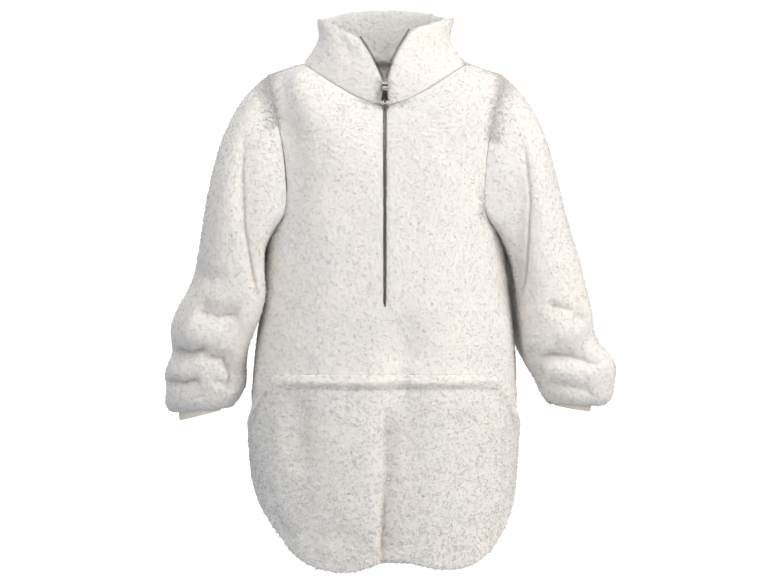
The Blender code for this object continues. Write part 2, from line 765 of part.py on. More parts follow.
def joined(name, steps, colour):
    """One solid from several: each step is an operation with the points and triangles of a simple solid."""
    scratch = []
    for k, (operation, (vertices, triangles)) in enumerate(steps):
        mesh = bpy.data.meshes.new(f"{name}_{k}")
        mesh.from_pydata([tuple(v) for v in vertices], [], [tuple(t) for t in triangles])
        work = bmesh.new()
        work.from_mesh(mesh)
        bmesh.ops.recalc_face_normals(work, faces=work.faces)
        work.to_mesh(mesh)
        work.free()
        item = bpy.data.objects.new(f"{name}_{k}", mesh)
        bpy.context.scene.collection.objects.link(item)
        scratch.append(item)
        if k:
            tool = scratch[0].modifiers.new(f"step_{k}", "BOOLEAN")
            tool.operation = operation
            tool.solver = "EXACT"
            tool.object = item
    bpy.context.view_layer.update()
    done = scratch[0].evaluated_get(bpy.context.evaluated_depsgraph_get())
    work = bmesh.new()
    work.from_mesh(done.to_mesh())
    bmesh.ops.remove_doubles(work, verts=work.verts, dist=0.01)
    bmesh.ops.dissolve_degenerate(work, edges=work.edges, dist=0.01)
    bmesh.ops.triangulate(work, faces=work.faces)
    work.verts.index_update()
    vertices = [tuple(v.co) for v in work.verts]
    triangles = [tuple(v.index for v in f.verts) for f in work.faces]
    work.free()
    done.to_mesh_clear()
    for item in scratch:
        bpy.data.objects.remove(item, do_unlink=True)
    made = solid(name, vertices, triangles, colour, 0.4, 0.9)
    made.data.polygons.foreach_set("use_smooth", [False] * len(made.data.polygons))
    return made


def slider_and_pull(path):
    """Slider with its stem in the slit and its pin in front, and the tab that hangs from the pin."""
    heights = [place[2] for place, way in path]
    skin_y = float(np.interp(SLIDER_TOP_Z - SLIDER_LENGTH / 2, heights, [place[1] for place, way in path]))
    front = min(place[1] for place, way in cut_path(path, SLIDER_TOP_Z - SLIDER_LENGTH, SLIDER_TOP_Z))
    plate_far = front - SEAM_GAP
    plate_near = plate_far - SLIDER_WALL
    stem_far = skin_y + ZIP_INSET + CHAIN_DEPTH
    foot = SLIDER_TOP_Z - SLIDER_LENGTH
    half = SLIDER_WIDTH / 2
    pin_y = plate_near - PIN_STAND
    shape = [(-half, foot + 3.5), (-half * 0.72, foot), (half * 0.72, foot), (half, foot + 3.5),
             (half, SLIDER_TOP_Z - 3), (half * 0.6, SLIDER_TOP_Z), (-half * 0.6, SLIDER_TOP_Z),
             (-half, SLIDER_TOP_Z - 3)]
    steps = [("UNION", prism(shape, plate_near, plate_far, 1)),
             ("UNION", block((-SLIDER_STEM / 2, plate_far - 0.5, foot + 0.5),
                             (SLIDER_STEM / 2, stem_far, SLIDER_TOP_Z - 0.5)))]
    for side in (-1, 1):
        low, high = sorted((side * LUG_NEAR, side * LUG_FAR))
        near_corner = (low, pin_y - PIN_RADIUS - LUG_SPARE, PIN_Z - LUG_HALF)
        far_corner = (high, plate_far - LUG_SINK, PIN_Z + LUG_HALF)
        steps.append(("UNION", block(near_corner, far_corner)))
    steps.append(("UNION", prism(circle((pin_y, PIN_Z), PIN_RADIUS, 16), -LUG_FAR + 0.3, LUG_FAR - 0.3, 0)))
    joined("zip_slider", steps, "metal")
    top, wide, low = PIN_Z - 1.0, PULL_FOOT_WIDTH / 2, PIN_Z - PULL_LENGTH
    narrow = PULL_TOP_WIDTH / 2
    round_foot = [(wide * math.cos(a), low + wide * 0.75 + wide * 0.75 * math.sin(a))
                  for a in np.linspace(math.pi, 2 * math.pi, 13)]
    tab = [(-narrow, top), (-narrow, top - 2.5)] + round_foot + [(narrow, top - 2.5), (narrow, top)]
    hole = [(x * PULL_HOLE_WIDTH / PULL_FOOT_WIDTH, low + 2.6 + (z - low) * 0.4) for x, z in round_foot]
    hole = hole + [(PULL_HOLE_WIDTH / 2, low + 10.0), (-PULL_HOLE_WIDTH / 2, low + 10.0)]
    joined("zip_pull", [
        ("UNION", prism(tab, pin_y - PULL_WALL / 2, pin_y + PULL_WALL / 2, 1)),
        ("UNION", prism(circle((pin_y, PIN_Z), PULL_EYE_RADIUS, 16), -narrow + 0.2, narrow - 0.2, 0)),
        ("DIFFERENCE", prism(circle((pin_y, PIN_Z), PIN_RADIUS + 0.3, 16), -narrow - 1, narrow + 1, 0)),
        ("DIFFERENCE", prism(hole, pin_y - PULL_WALL, pin_y + PULL_WALL, 1)),
    ], "metal")


def bottom_stop(path):
    """Stop under the closed teeth."""
    part = cut_path(path, ZIP_BOTTOM_Z + STOP_FOOT, ZIP_BOTTOM_Z + CHAIN_FOOT - SEAM_GAP)
    bar("zip_bottom_stop", part, STOP_WIDTH / 2, ZIP_INSET - 0.4, ZIP_INSET + CHAIN_DEPTH * 0.5, "metal", 0.4, 0.9)


def main():
    clear_scene()
    skin = Skin()
    armholes = add_body(skin)
    collar_rows = add_collar(skin)
    add_sleeve(skin, "sleeve_right", -1, SLEEVE_RIGHT_RINGS, armholes[(-1, "front")], armholes[(-1, "back")])
    add_sleeve(skin, "sleeve_left", 1, SLEEVE_LEFT_RINGS, armholes[(1, "front")], armholes[(1, "back")])
    normals = skin.normals()
    seams = seam_edges(skin)
    slit = {n for n, p in enumerate(skin.points) if abs(p[0]) < 4.5 and p[1] < 0 and p[2] >= ZIP_BOTTOM_Z - 1}
    cap = {n: SLIT_EDGE_BULGE for n in slit}

    def front_thick(number):
        return SLIT_EDGE_WALL if number in slit else PILE_WALL

    wall_mesh("front", skin, normals, front_thick, seams, cap, "pile", 0.95)
    wall_mesh("back", skin, normals, PILE_WALL, seams, cap, "pile", 0.95)
    wall_mesh("sleeve_right", skin, normals, PILE_WALL, seams, cap, "pile", 0.95)
    wall_mesh("sleeve_left", skin, normals, PILE_WALL, seams, cap, "pile", 0.95)
    rim = wall_mesh("collar", skin, normals, COLLAR_WALL, seams, cap, "pile_collar", 0.95)
    pocket(skin, normals)
    cuff("cuff_right", -1, CUFF_RIGHT_RINGS, CUFF_RIGHT_DEPTHS)
    cuff("cuff_left", 1, CUFF_LEFT_RINGS, CUFF_LEFT_DEPTHS)
    path = zip_path(skin, normals)
    chain = cut_path(path, ZIP_BOTTOM_Z + CHAIN_FOOT, SLIDER_TOP_Z - SLIDER_LENGTH - SEAM_GAP)
    bar("zip_chain", chain, CHAIN_HALF_WIDTH, ZIP_INSET, ZIP_INSET + CHAIN_DEPTH, "metal", 0.4, 0.9)
    zip_tape("zip_tape_right", -1, skin, normals)
    zip_tape("zip_tape_left", 1, skin, normals)
    for name, side, end in (("zip_row_right", -1, 0), ("zip_row_left", 1, -1)):
        edge = [row[end] for row in collar_rows[1:]]
        open_row(name, side, [(n, rim[n][0], rim[n][1], normals[n]) for n in edge])
    slider_and_pull(path)
    bottom_stop(path)


main()
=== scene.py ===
"""Looks of a half-zip pile pullover: curly pile panels, rib cuffs, metal zip and a white studio."""

import math

import bpy
import numpy as np
from bpy.props import FloatProperty, FloatVectorProperty, PointerProperty
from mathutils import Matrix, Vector, kdtree, noise


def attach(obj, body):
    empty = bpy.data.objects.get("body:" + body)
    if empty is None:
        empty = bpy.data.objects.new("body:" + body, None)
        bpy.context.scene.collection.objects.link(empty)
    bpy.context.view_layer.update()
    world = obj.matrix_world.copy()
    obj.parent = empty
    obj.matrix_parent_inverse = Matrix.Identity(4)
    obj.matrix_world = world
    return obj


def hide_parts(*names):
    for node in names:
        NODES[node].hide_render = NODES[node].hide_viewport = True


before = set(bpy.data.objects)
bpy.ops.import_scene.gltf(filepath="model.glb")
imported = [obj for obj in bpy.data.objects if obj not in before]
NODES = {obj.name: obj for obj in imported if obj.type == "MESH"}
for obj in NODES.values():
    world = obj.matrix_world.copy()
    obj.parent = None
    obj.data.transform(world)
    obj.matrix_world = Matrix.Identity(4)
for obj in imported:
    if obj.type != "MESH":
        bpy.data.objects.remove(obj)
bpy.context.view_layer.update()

bl_info = {
    "name": "Half-zip pile pullover",
    "version": (1, 0, 0),
    "blender": (4, 5, 0),
    "location": "View3D > Sidebar > Pullover",
    "description": "Builds the looks of a half-zip pullover with pile panels, rib cuffs and a metal zip",
    "category": "Object",
}

# Metres in a millimetre
METRES = 0.001

# Cloth panels, in metres and square metres
# node, wall, flat width, flat length, flat area, loose curls, lowest level that gets curls
PANELS = [
    ("front", 0.006, 0.66, 0.84, 0.37, 14000, -0.53),
    ("back", 0.006, 0.62, 0.86, 0.37, 17000, -0.9),
    ("sleeve_left", 0.006, 0.44, 0.56, 0.215, 12500, -0.9),
    ("sleeve_right", 0.006, 0.44, 0.56, 0.215, 12500, -0.9),
    ("collar", 0.010, 0.62, 0.2, 0.06, 7500, -0.9),
    ("pocket", 0.006, 0.62, 0.34, 0.15, 10500, -0.9),
]
PANEL_LEVELS = 2

# Rib cuffs: levels of rounding
CUFF_LEVELS = 2

# Middle of the body and the half sizes that tell its outside from its inside, in metres
BODY_MIDDLE = (0.0, -0.01)
BODY_HALF = (0.215, 0.14)
COLLAR_MIDDLE = (0.0, 0.015)
# The body's outside also faces up above this level, over this rise
SHOULDER_LEVEL = -0.12
SHOULDER_RISE = 0.1
# A sleeve's middle is found slab by slab up to its cap
SLEEVE_CAP_LEVEL = -0.12
SLEEVE_SLAB = 0.02
# The back's inner face shows in the neck above this level
NECK_INSIDE_LEVEL = -0.14

# An edge sharper than this belongs to a seam
SEAM_ANGLE = math.radians(72.0)
# Two seam edges whose directions meet past this cosine form a corner
CORNER_BEND = -0.85
# A face with a side under this share of its wall belongs to a rim
RIM_SHARE = 0.65
# A face or point with a rim value over this belongs to a rim after rounding
RIM_LIMIT = 0.12
# A point with a seam value under this lies on a free rim, such as a hem
FREE_LIMIT = 0.2
# Depth of the dip along a seam in metres, and how much denser its curls stand
SEAM_DIP = 0.0003
SEAM_CURLS = 16.0

# Strip along the zip that has no loose curls, in metres: half width, lowest level, farthest back
ZIP_CLEAR = 0.003
ZIP_FOOT_LEVEL = -0.388
ZIP_BACK_END = -0.05

# Seed of the curl clumps' drift
CLUMP_SEED = 7
# Curl clumps: size of the drift that bends them, its reach and the grain's size, as shares of a clump's size
DRIFT_SIZE = 2.4
DRIFT_REACH = 0.7
GRAIN_SIZE = 0.42
# Width of a clump's round edge as a share of its size, and size of the wide swell in metres
DOME_EDGE = 0.6
SWELL_SIZE = 0.035
# Shares of a clump's height, and how far the gaps between clumps lie under the wall's own face
DOME_SHARE = 0.9
GRAIN_SHARE = 0.35
SWELL_SHARE = 0.4
GAP_SHARE = 0.5

# Below this level the curls hang down and grow longer, over this range, in metres
HANG_LEVEL = -0.62
HANG_RANGE = 0.16
# A loose curl: depth of its root in metres, and the share of its width at each step below its tip
CURL_ROOT = 0.0006
CURL_TAPER = (0.8, 1.0, 0.75)
CURL_STEPS = len(CURL_TAPER)
CURL_POINTS = 2 * CURL_STEPS + 1

# Sewn lines on a panel, seen from the front, in millimetres: panel, stitch spacing, path of x and z
SEWN_LINES = [
    ("pocket", 4.6, [(-146, -508), (-80, -509.5), (-10, -510), (70, -509), (170, -509.5)]),
]
# Bar tacks at the ends of the sewn line: panel, middle x and z, width
BAR_TACKS = [
    ("pocket", (-148, -508.5), 7.0),
    ("pocket", (171, -509.5), 7.0),
]
# Each tack: its stitches, their angles by turns in degrees, and their stretch
TACK_STITCHES = 9
TACK_ANGLES = (102.0, 78.0)
TACK_STRETCH = 1.5
# One stitch, in metres: its radius and length, the arch of its middle, its lift off the panel
STITCH_RADIUS = 0.0005
STITCH_LENGTH = 0.0036
STITCH_ARCH = 0.0006
STITCH_LIFT = 0.0004

# One tooth, in metres: size of its legs, inset and length of its head, shift to its side, round of its edges
TOOTH_SIZE = (0.0030, 0.0022, 0.00115)
TOOTH_HEAD_INSET = 0.00022
TOOTH_HEAD_LENGTH = 0.00045
TOOTH_SHIFT = 0.0006
TOOTH_EDGE = 0.00018
# Rows of teeth: node, piece, and for each side its direction and its offset as a share of the pitch
TOOTH_ROWS = [
    ("zip_chain", "zip_teeth_closed", [(1.0, 0.0), (-1.0, 0.5)]),
    ("zip_row_left", "zip_teeth_open_left", [(1.0, 0.0)]),
    ("zip_row_right", "zip_teeth_open_right", [(-1.0, 0.25)]),
]
# Stations of a bar lie farther apart than this, in metres
STATION_BREAK = 0.0035
# Rounding of a tape's edges, in metres
TAPE_EDGE = 0.00025

# Cast parts of the zip: node, piece, body, rounding of its edges in metres
CAST_PARTS = [
    ("zip_slider", "zip_slider_cast", "garment", 0.00035),
    ("zip_pull", "zip_pull_tab", "pull", 0.0003),
    ("zip_bottom_stop", "zip_bottom_stop_clamp", "garment", 0.0004),
]
# How much lighter the slider and pull are than the teeth
SLIDER_LIGHT = 4.5
# Their painted highlights: bright bands by level where the pull's foot and the slider's ridges would catch
# the light, dark bands between: level in metres, brightness
SLIDER_PAINTED_HIGHLIGHTS = [
    (-0.072, 1.0), (-0.0662, 1.0), (-0.0645, 0.07), (-0.0500, 0.09), (-0.0480, 0.9), (-0.0440, 0.8),
    (-0.0420, 0.12), (-0.0400, 0.12), (-0.0385, 0.95), (-0.0365, 0.95), (-0.0355, 0.15), (-0.034, 0.15),
]

# Camera: its place in metres and the width of its sensor in millimetres
CAMERA_PLACE = (0.008, -3.2, -0.362)
CAMERA_SENSOR = 36.0
# Place that every light looks at
GARMENT_MIDDLE = (0.0, 0.0, -0.36)
# Lights: name, place, size, setting that holds the power, share of that power, colour
LIGHTS = [
    ("key", (1.6, -1.5, 0.15), 1.4, "key_power", 1.0, (1.0, 0.955, 0.89)),
    ("chest", (0.0, -1.1, 1.05), 1.3, "chest_power", 1.0, (1.0, 0.985, 0.96)),
    ("fill", (-3.0, -2.6, 0.4), 2.4, "fill_power", 1.0, (0.90, 0.95, 1.0)),
    ("back", (-1.4, 3.2, 1.6), 2.2, "fill_power", 3.0, (1.0, 0.99, 0.97)),
]
# The floor turns up into a wall: growth and rise of each ring round it
FLOOR_RADIUS = 7.0
FLOOR_RINGS = [
    (1.06, 0.04), (1.055, 0.12), (1.05, 0.22), (1.035, 0.35),
    (1.02, 0.5), (1.01, 0.7), (1.0, 1.6), (1.0, 2.4),
]
# Way from which the air is brightest
AIR_BRIGHT_SIDE = (0.55, -0.35, 0.75)

# Valley down the pocket's middle, as pressed into the front behind it and into the pocket
FRONT_VALLEY = [(1, -520), (2, -634), (-2, -700), (-5, -830)]
POCKET_VALLEY = [(1, -530), (2, -634), (-2, -700), (-5, -800)]
# Share of a fold's length over which it fades at each end
FOLD_END = 0.22
# How far a fold wraps past the side it is seen from, and the wall's turn over which folds and creases fade
FOLD_WRAP = 0.1
FOLD_TURN = 0.5
CREASE_TURN = 0.3

# Folds seen from the front or the back, in millimetres
# panel, side, depth, width to the right or above, width to the left or below, path of x and z
FOLDS = [
    ("front", "front", 3.5, 22, 30, [(-128, -80), (-142, -190), (-152, -310)]),
    ("front", "front", -3.0, 30, 30, [(-92, -190), (-84, -300), (-100, -410)]),
    ("front", "front", 4.0, 26, 22, [(24, -392), (40, -425), (44, -480)]),
    ("front", "front", 3.0, 24, 30, [(120, -230), (134, -330), (146, -470)]),
    ("front", "front", -2.5, 28, 28, [(74, -130), (86, -250), (84, -360)]),
    ("front", "front", 2.5, 12, 16, [(-60, -66), (-92, -112), (-104, -170)]),
    ("front", "front", 2.5, 16, 12, [(52, -66), (88, -118), (102, -180)]),
    ("front", "front", 3.5, 10, 26, [(172, -200), (182, -300), (192, -420)]),
    ("front", "front", 3.5, 12, 3, FRONT_VALLEY),
    ("front", "front", 4.0, 24, 3, FRONT_VALLEY),
    ("front", "front", 4.5, 40, 3, FRONT_VALLEY),
    ("front", "front", 5.0, 16, 22, [(-128, -505), (-133, -572), (-124, -660)]),
    ("back", "back", 4.0, 26, 20, [(-60, -60), (-84, -180), (-80, -330)]),
    ("back", "back", 3.5, 20, 26, [(66, -80), (78, -210), (100, -320)]),
    ("back", "back", 4.0, 24, 34, [(-120, -380), (-104, -520), (-112, -690)]),
    ("back", "back", 5.0, 34, 22, [(18, -430), (6, -560), (14, -760)]),
    ("back", "back", 3.5, 24, 24, [(128, -350), (120, -480), (138, -640)]),
    ("back", "back", 3.0, 12, 20, [(150, -210), (110, -260), (64, -276)]),
    ("back", "back", 3.0, 12, 20, [(-152, -230), (-116, -284), (-52, -312)]),
    ("sleeve_right", "front", 4.0, 32, 14,
     [(-217, -80), (-216, -179), (-214, -263), (-202, -327), (-189, -395)]),
    ("sleeve_right", "front", 8.0, 14, 18, [(-296, -388), (-256, -399), (-220, -393)]),
    ("sleeve_right", "front", -5.0, 18, 18, [(-320, -424), (-280, -428), (-244, -420)]),
    ("sleeve_right", "front", 10.0, 7, 11, [(-340, -452), (-303, -457), (-272, -450)]),
    ("sleeve_right", "front", 10.0, 11, 8, [(-290, -461), (-249, -468), (-236, -490), (-240, -524)]),
    ("sleeve_right", "front", 7.0, 7, 9, [(-352, -500), (-318, -505), (-284, -498)]),
    ("sleeve_right", "front", 5.0, 7, 8, [(-272, -500), (-250, -506), (-238, -520)]),
    ("sleeve_right", "front", 4.0, 14, 14, [(-304, -326), (-272, -342), (-238, -340)]),
    ("sleeve_right", "back", 4.5, 12, 16, [(-300, -300), (-262, -322), (-226, -318)]),
    ("sleeve_right", "back", 5.5, 8, 12, [(-318, -398), (-280, -412), (-236, -404)]),
    ("sleeve_right", "back", 6.0, 7, 10, [(-336, -452), (-296, -462), (-250, -450)]),
    ("sleeve_right", "back", 4.5, 7, 8, [(-338, -500), (-300, -508), (-262, -500)]),
    ("sleeve_left", "front", 4.5, 14, 28, [(200, -80), (221, -140), (226, -218), (218, -319), (206, -410)]),
    ("sleeve_left", "front", 4.5, 8, 12, [(252, -380), (274, -385), (298, -389)]),
    ("sleeve_left", "front", 5.0, 7, 9, [(292, -398), (308, -401), (326, -405)]),
    ("sleeve_left", "front", -5.0, 16, 16, [(262, -424), (292, -428), (322, -424)]),
    ("sleeve_left", "front", 11.0, 8, 12, [(232, -467), (262, -462), (290, -460), (314, -463), (346, -476)]),
    ("sleeve_left", "front", 3.0, 9, 12, [(250, -500), (290, -511), (314, -516), (340, -530)]),
    ("sleeve_left", "front", 7.0, 9, 9, [(222, -446), (238, -470), (243, -506)]),
    ("sleeve_left", "back", 4.5, 12, 14, [(232, -290), (270, -312), (304, -306)]),
    ("sleeve_left", "back", 5.0, 8, 12, [(244, -392), (282, -400), (322, -388)]),
    ("sleeve_left", "back", 6.0, 7, 10, [(246, -452), (292, -462), (336, -452)]),
    ("sleeve_left", "back", 4.5, 7, 8, [(260, -498), (300, -508), (336, -500)]),
    ("pocket", "front", -2.8, 5, 6, [(-172, -499), (-80, -499.5), (-10, -500), (70, -499), (192, -499.5)]),
    ("pocket", "front", 1.0, 3, 4, [(-160, -508), (-80, -509.5), (-10, -510), (70, -509), (182, -509.5)]),
    ("pocket", "front", 5.0, 16, 22, [(-128, -512), (-133, -572), (-124, -650)]),
    ("pocket", "front", 3.0, 12, 3, POCKET_VALLEY),
    ("pocket", "front", 3.5, 24, 3, POCKET_VALLEY),
    ("pocket", "front", 4.0, 40, 3, POCKET_VALLEY),
    ("pocket", "front", -5.0, 16, 26, [(-22, -540), (-20, -640), (-30, -760)]),
    ("pocket", "front", -4.0, 5, 9, [(-176, -494), (-183, -512), (-196, -530), (-212, -560), (-218, -590)]),
    ("pocket", "front", -4.0, 9, 5, [(174, -494), (181, -512), (193, -530), (208, -560), (213, -590)]),
    ("pocket", "front", 3.5, 20, 26, [(118, -530), (128, -600), (120, -690)]),
    ("pocket", "front", 3.0, 9, 16, [(-176, -696), (-158, -726), (-146, -752)]),
    ("pocket", "front", -3.0, 26, 26, [(-66, -560), (-58, -650), (-70, -740)]),
    ("collar", "front", 3.0, 8, 12, [(-86, 70), (-66, 30), (-44, -6)]),
    ("collar", "front", 2.5, 10, 10, [(78, 66), (60, 26), (36, -20)]),
    ("collar", "back", 3.0, 10, 14, [(-80, 30), (-10, 16), (70, 28)]),
]

# Narrow creases pressed into the wall with painted shade along them, seen from the front, in millimetres
# panel, depth, width, painted shade, path of x and z
CREASES = [
    ("sleeve_right", 3.0, 3.0, 0.95, [(-219, -95), (-218, -179), (-214, -263), (-203, -327), (-190, -392)]),
    ("sleeve_right", 2.0, 3.0, 0.55, [(-298, -389), (-256, -400), (-222, -394)]),
    ("sleeve_right", 2.5, 3.0, 0.8, [(-342, -451), (-303, -457), (-270, -450)]),
    ("sleeve_right", 2.5, 3.0, 0.8, [(-292, -460), (-249, -468), (-236, -490), (-240, -524)]),
    ("sleeve_right", 2.0, 3.0, 0.6, [(-354, -500), (-318, -505), (-284, -498)]),
    ("sleeve_left", 3.0, 3.0, 0.8, [(206, -100), (222, -145), (227, -218), (219, -319), (208, -400)]),
    ("sleeve_left", 2.0, 3.0, 0.5, [(252, -380), (274, -385), (300, -389)]),
    ("sleeve_left", 2.5, 3.0, 0.8, [(232, -467), (262, -462), (290, -460), (314, -463), (346, -476)]),
    ("sleeve_left", 1.0, 3.0, 0.25, [(250, -500), (290, -511), (314, -516), (340, -530)]),
    ("pocket", 1.0, 4.0, 0.5, [(3, -540), (4, -634), (0, -700)]),
    ("pocket", 1.5, 4.5, 1.0, [(3, -650), (0, -700), (-2, -745), (-3, -830)]),
    # Painted shade alone, no depth: the recess right of the pocket's middle valley is painted darker
    ("pocket", 0.0, 15.0, 0.34, [(9, -520), (10, -634), (8, -720), (5, -830)]),
    # Painted shade alone, no depth: the recesses beside the sleeves' front folds are painted darker
    ("sleeve_right", 0.0, 12.0, 0.3, [(-206, -90), (-205, -180), (-203, -263), (-192, -340)]),
    ("sleeve_left", 0.0, 9.0, 0.3, [(210, -150), (217, -230), (211, -320), (200, -410)]),
    ("pocket", 1.0, 2.5, 0.3, [(-172, -500), (-181, -514), (-196, -538), (-208, -566), (-214, -590)]),
    ("pocket", 1.0, 2.5, 0.3, [(172, -500), (182, -516), (196, -545), (205, -575), (208, -595)]),
]


class PulloverPile(bpy.types.PropertyGroup):
    color: FloatVectorProperty(
        name="Colour", description="Cream of the pile", subtype="COLOR", size=3,
        default=(0.868, 0.850, 0.827), min=0.0, max=1.0)
    clump_size: FloatProperty(
        name="Clump size", description="Width of one curl clump", default=0.0085, min=0.003, unit="LENGTH")
    clump_height: FloatProperty(
        name="Clump height", description="Rise of a clump over the gaps between", default=0.0014, min=0.0,
        unit="LENGTH")
    curl_length: FloatProperty(
        name="Curl length", description="Length of one loose curl", default=0.0054, min=0.001,
        unit="LENGTH")
    curl_width: FloatProperty(
        name="Curl width", description="Width of one loose curl", default=0.0012, min=0.0002, unit="LENGTH")


class PulloverCuff(bpy.types.PropertyGroup):
    color: FloatVectorProperty(
        name="Colour", description="Ivory of the rib knit", subtype="COLOR", size=3,
        default=(0.86, 0.80, 0.71), min=0.0, max=1.0)


class PulloverZip(bpy.types.PropertyGroup):
    metal_color: FloatVectorProperty(
        name="Metal colour", description="Antique silver of the teeth and slider", subtype="COLOR", size=3,
        default=(0.17, 0.16, 0.15), min=0.0, max=1.0)
    tape_color: FloatVectorProperty(
        name="Tape colour", description="Colour of the woven tape", subtype="COLOR", size=3,
        default=(0.70, 0.675, 0.635), min=0.0, max=1.0)
    pitch: FloatProperty(
        name="Pitch", description="Distance between teeth of one side", default=0.0026, min=0.001,
        unit="LENGTH")


class PulloverStudio(bpy.types.PropertyGroup):
    floor_level: FloatProperty(
        name="Floor level", description="Height of the floor", default=-1.3, unit="LENGTH")
    key_power: FloatProperty(
        name="Key power", description="Power of the warm light on the right", default=20.0, min=0.0,
        unit="POWER")
    air_strength: FloatProperty(
        name="Air strength", description="Strength of the light from all round", default=0.775, min=0.0)
    fill_power: FloatProperty(
        name="Fill power", description="Power of the cool light on the left", default=11.0, min=0.0,
        unit="POWER")
    chest_power: FloatProperty(
        name="Chest power", description="Power of the light over the chest", default=9.0, min=0.0,
        unit="POWER")
    lens: FloatProperty(
        name="Lens", description="Focal length of the camera", default=92.3, min=1.0, unit="CAMERA")


class PulloverSettings(bpy.types.PropertyGroup):
    pile: PointerProperty(type=PulloverPile)
    cuff: PointerProperty(type=PulloverCuff)
    zip: PointerProperty(type=PulloverZip)
    studio: PointerProperty(type=PulloverStudio)


def smooth_share(value):
    """Eases a share between 0 and 1."""
    share = np.clip(value, 0.0, 1.0)
    return share * share * (3.0 - 2.0 * share)


def select_only(piece):
    """Leaves one piece selected and active."""
    bpy.ops.object.select_all(action="DESELECT")
    piece.select_set(True)
    bpy.context.view_layer.objects.active = piece


def apply_all(piece):
    """Applies every modifier of a piece in order."""
    select_only(piece)
    for modifier in list(piece.modifiers):
        bpy.ops.object.modifier_apply(modifier=modifier.name)


def coordinates(mesh):
    """Vertex places of a mesh as an array."""
    flat = np.empty(len(mesh.vertices) * 3)
    mesh.vertices.foreach_get("co", flat)
    return flat.reshape(-1, 3)


def normals(mesh):
    """Vertex normals of a mesh as an array."""
    flat = np.empty(len(mesh.vertices) * 3)
    mesh.vertex_normals.foreach_get("vector", flat)
    return flat.reshape(-1, 3)


def move_points(mesh, points):
    """Puts an array of places back on a mesh."""
    mesh.vertices.foreach_set("co", points.reshape(-1))
    mesh.update()


def values_of(mesh, name):
    """Point values of a mesh attribute as an array."""
    values = np.empty(len(mesh.vertices), dtype=np.float32)
    mesh.attributes[name].data.foreach_get("value", values)
    return values


def keep_values(mesh, name, values):
    """Keeps an array of point values on a mesh under a name."""
    mesh.attributes.new(name, "FLOAT", "POINT").data.foreach_set("value", values)


def linked_object(name, data):
    """Adds an object that holds the data to the scene."""
    piece = bpy.data.objects.new(name, data)
    bpy.context.scene.collection.objects.link(piece)
    return piece


def object_from(name, points, faces):
    """Makes an object from points and faces."""
    mesh = bpy.data.meshes.new(name)
    mesh.from_pydata([tuple(point) for point in points], [], faces)
    return linked_object(name, mesh)


def shell_of(node, name):
    """Copies a CAD node into a merged mesh of quads with a name of its own."""
    piece = linked_object(name, NODES[node].data.copy())
    piece.data.materials.clear()
    select_only(piece)
    bpy.ops.object.mode_set(mode="EDIT")
    bpy.ops.mesh.select_all(action="SELECT")
    bpy.ops.mesh.remove_doubles(threshold=0.00002)
    bpy.ops.mesh.tris_convert_to_quads()
    bpy.ops.object.mode_set(mode="OBJECT")
    bpy.ops.object.shade_smooth()
    return piece


def hold_seams(piece, wall):
    """Creases the square rims that meet another panel, and their corners, and marks seams and rims."""
    select_only(piece)
    bpy.ops.object.mode_set(mode="EDIT")
    bpy.ops.mesh.select_mode(type="EDGE")
    bpy.ops.mesh.select_all(action="DESELECT")
    bpy.ops.mesh.edges_select_sharp(sharpness=SEAM_ANGLE)
    bpy.ops.object.mode_set(mode="OBJECT")
    mesh = piece.data
    points = coordinates(mesh)
    near = np.zeros(len(points), dtype=np.float32)
    rim = np.ones(len(points), dtype=np.float32)
    for face in mesh.polygons:
        loop = list(face.vertices)
        sides = np.linalg.norm(points[loop] - points[loop[1:] + loop[:1]], axis=1)
        if sides.min() > RIM_SHARE * wall:
            rim[loop] = 0.0
    straightest = np.ones(len(points))
    ways = {}
    for edge in mesh.edges:
        start, end = edge.vertices
        edge.select = bool(edge.select and max(rim[start], rim[end]) == 0.0)
        if edge.select:
            near[[start, end]] = 1.0
            way = (points[end] - points[start]) / np.linalg.norm(points[end] - points[start])
            for spot, out in ((start, way), (end, -way)):
                for other in ways.get(spot, []):
                    straightest[spot] = min(straightest[spot], out @ other)
                ways.setdefault(spot, []).append(out)
    bpy.ops.object.mode_set(mode="EDIT")
    bpy.ops.transform.edge_crease(value=1.0)
    bpy.ops.object.mode_set(mode="OBJECT")
    keep_values(mesh, "seam", near)
    keep_values(mesh, "rim", rim)
    corner = np.zeros(len(points), dtype=np.float32)
    for spot, found in ways.items():
        corner[spot] = len(found) > 2 or straightest[spot] > CORNER_BEND
    keep_values(mesh, "crease_vert", corner)


def sharpen_seams(piece):
    """Parts the shading of a panel's face from its sewn rims."""
    mesh = piece.data
    near = values_of(mesh, "seam")
    for edge in mesh.edges:
        edge.use_edge_sharp = bool(near[list(edge.vertices)].min() > 0.99)


def smooth_by(piece, levels):
    """Rounds a mesh by so many levels."""
    modifier = piece.modifiers.new("Round", "SUBSURF")
    modifier.levels = levels
    modifier.render_levels = levels
    apply_all(piece)


def away_from_middle(node, points):
    """Direction from the middle of the form to each point."""
    away = np.zeros_like(points)
    if node in ("front", "back", "pocket"):
        away[:, 0] = (points[:, 0] - BODY_MIDDLE[0]) / BODY_HALF[0] ** 2
        away[:, 1] = (points[:, 1] - BODY_MIDDLE[1]) / BODY_HALF[1] ** 2
        away[:, 2] = np.maximum(points[:, 2] - SHOULDER_LEVEL, 0.0) / SHOULDER_RISE ** 2
        return away
    if node == "collar":
        away[:, 0] = points[:, 0] - COLLAR_MIDDLE[0]
        away[:, 1] = points[:, 1] - COLLAR_MIDDLE[1]
        return away
    low = points[:, 2].min()
    slabs = np.floor((np.minimum(points[:, 2], SLEEVE_CAP_LEVEL) - low) / SLEEVE_SLAB).astype(int)
    for slab in np.unique(slabs):
        inside = slabs == slab
        middle = (points[inside].min(axis=0) + points[inside].max(axis=0)) / 2.0
        away[inside, 0] = points[inside, 0] - middle[0]
        away[inside, 1] = points[inside, 1] - middle[1]
        away[inside, 2] = np.maximum(points[inside, 2] - SLEEVE_CAP_LEVEL, 0.0)
    return away


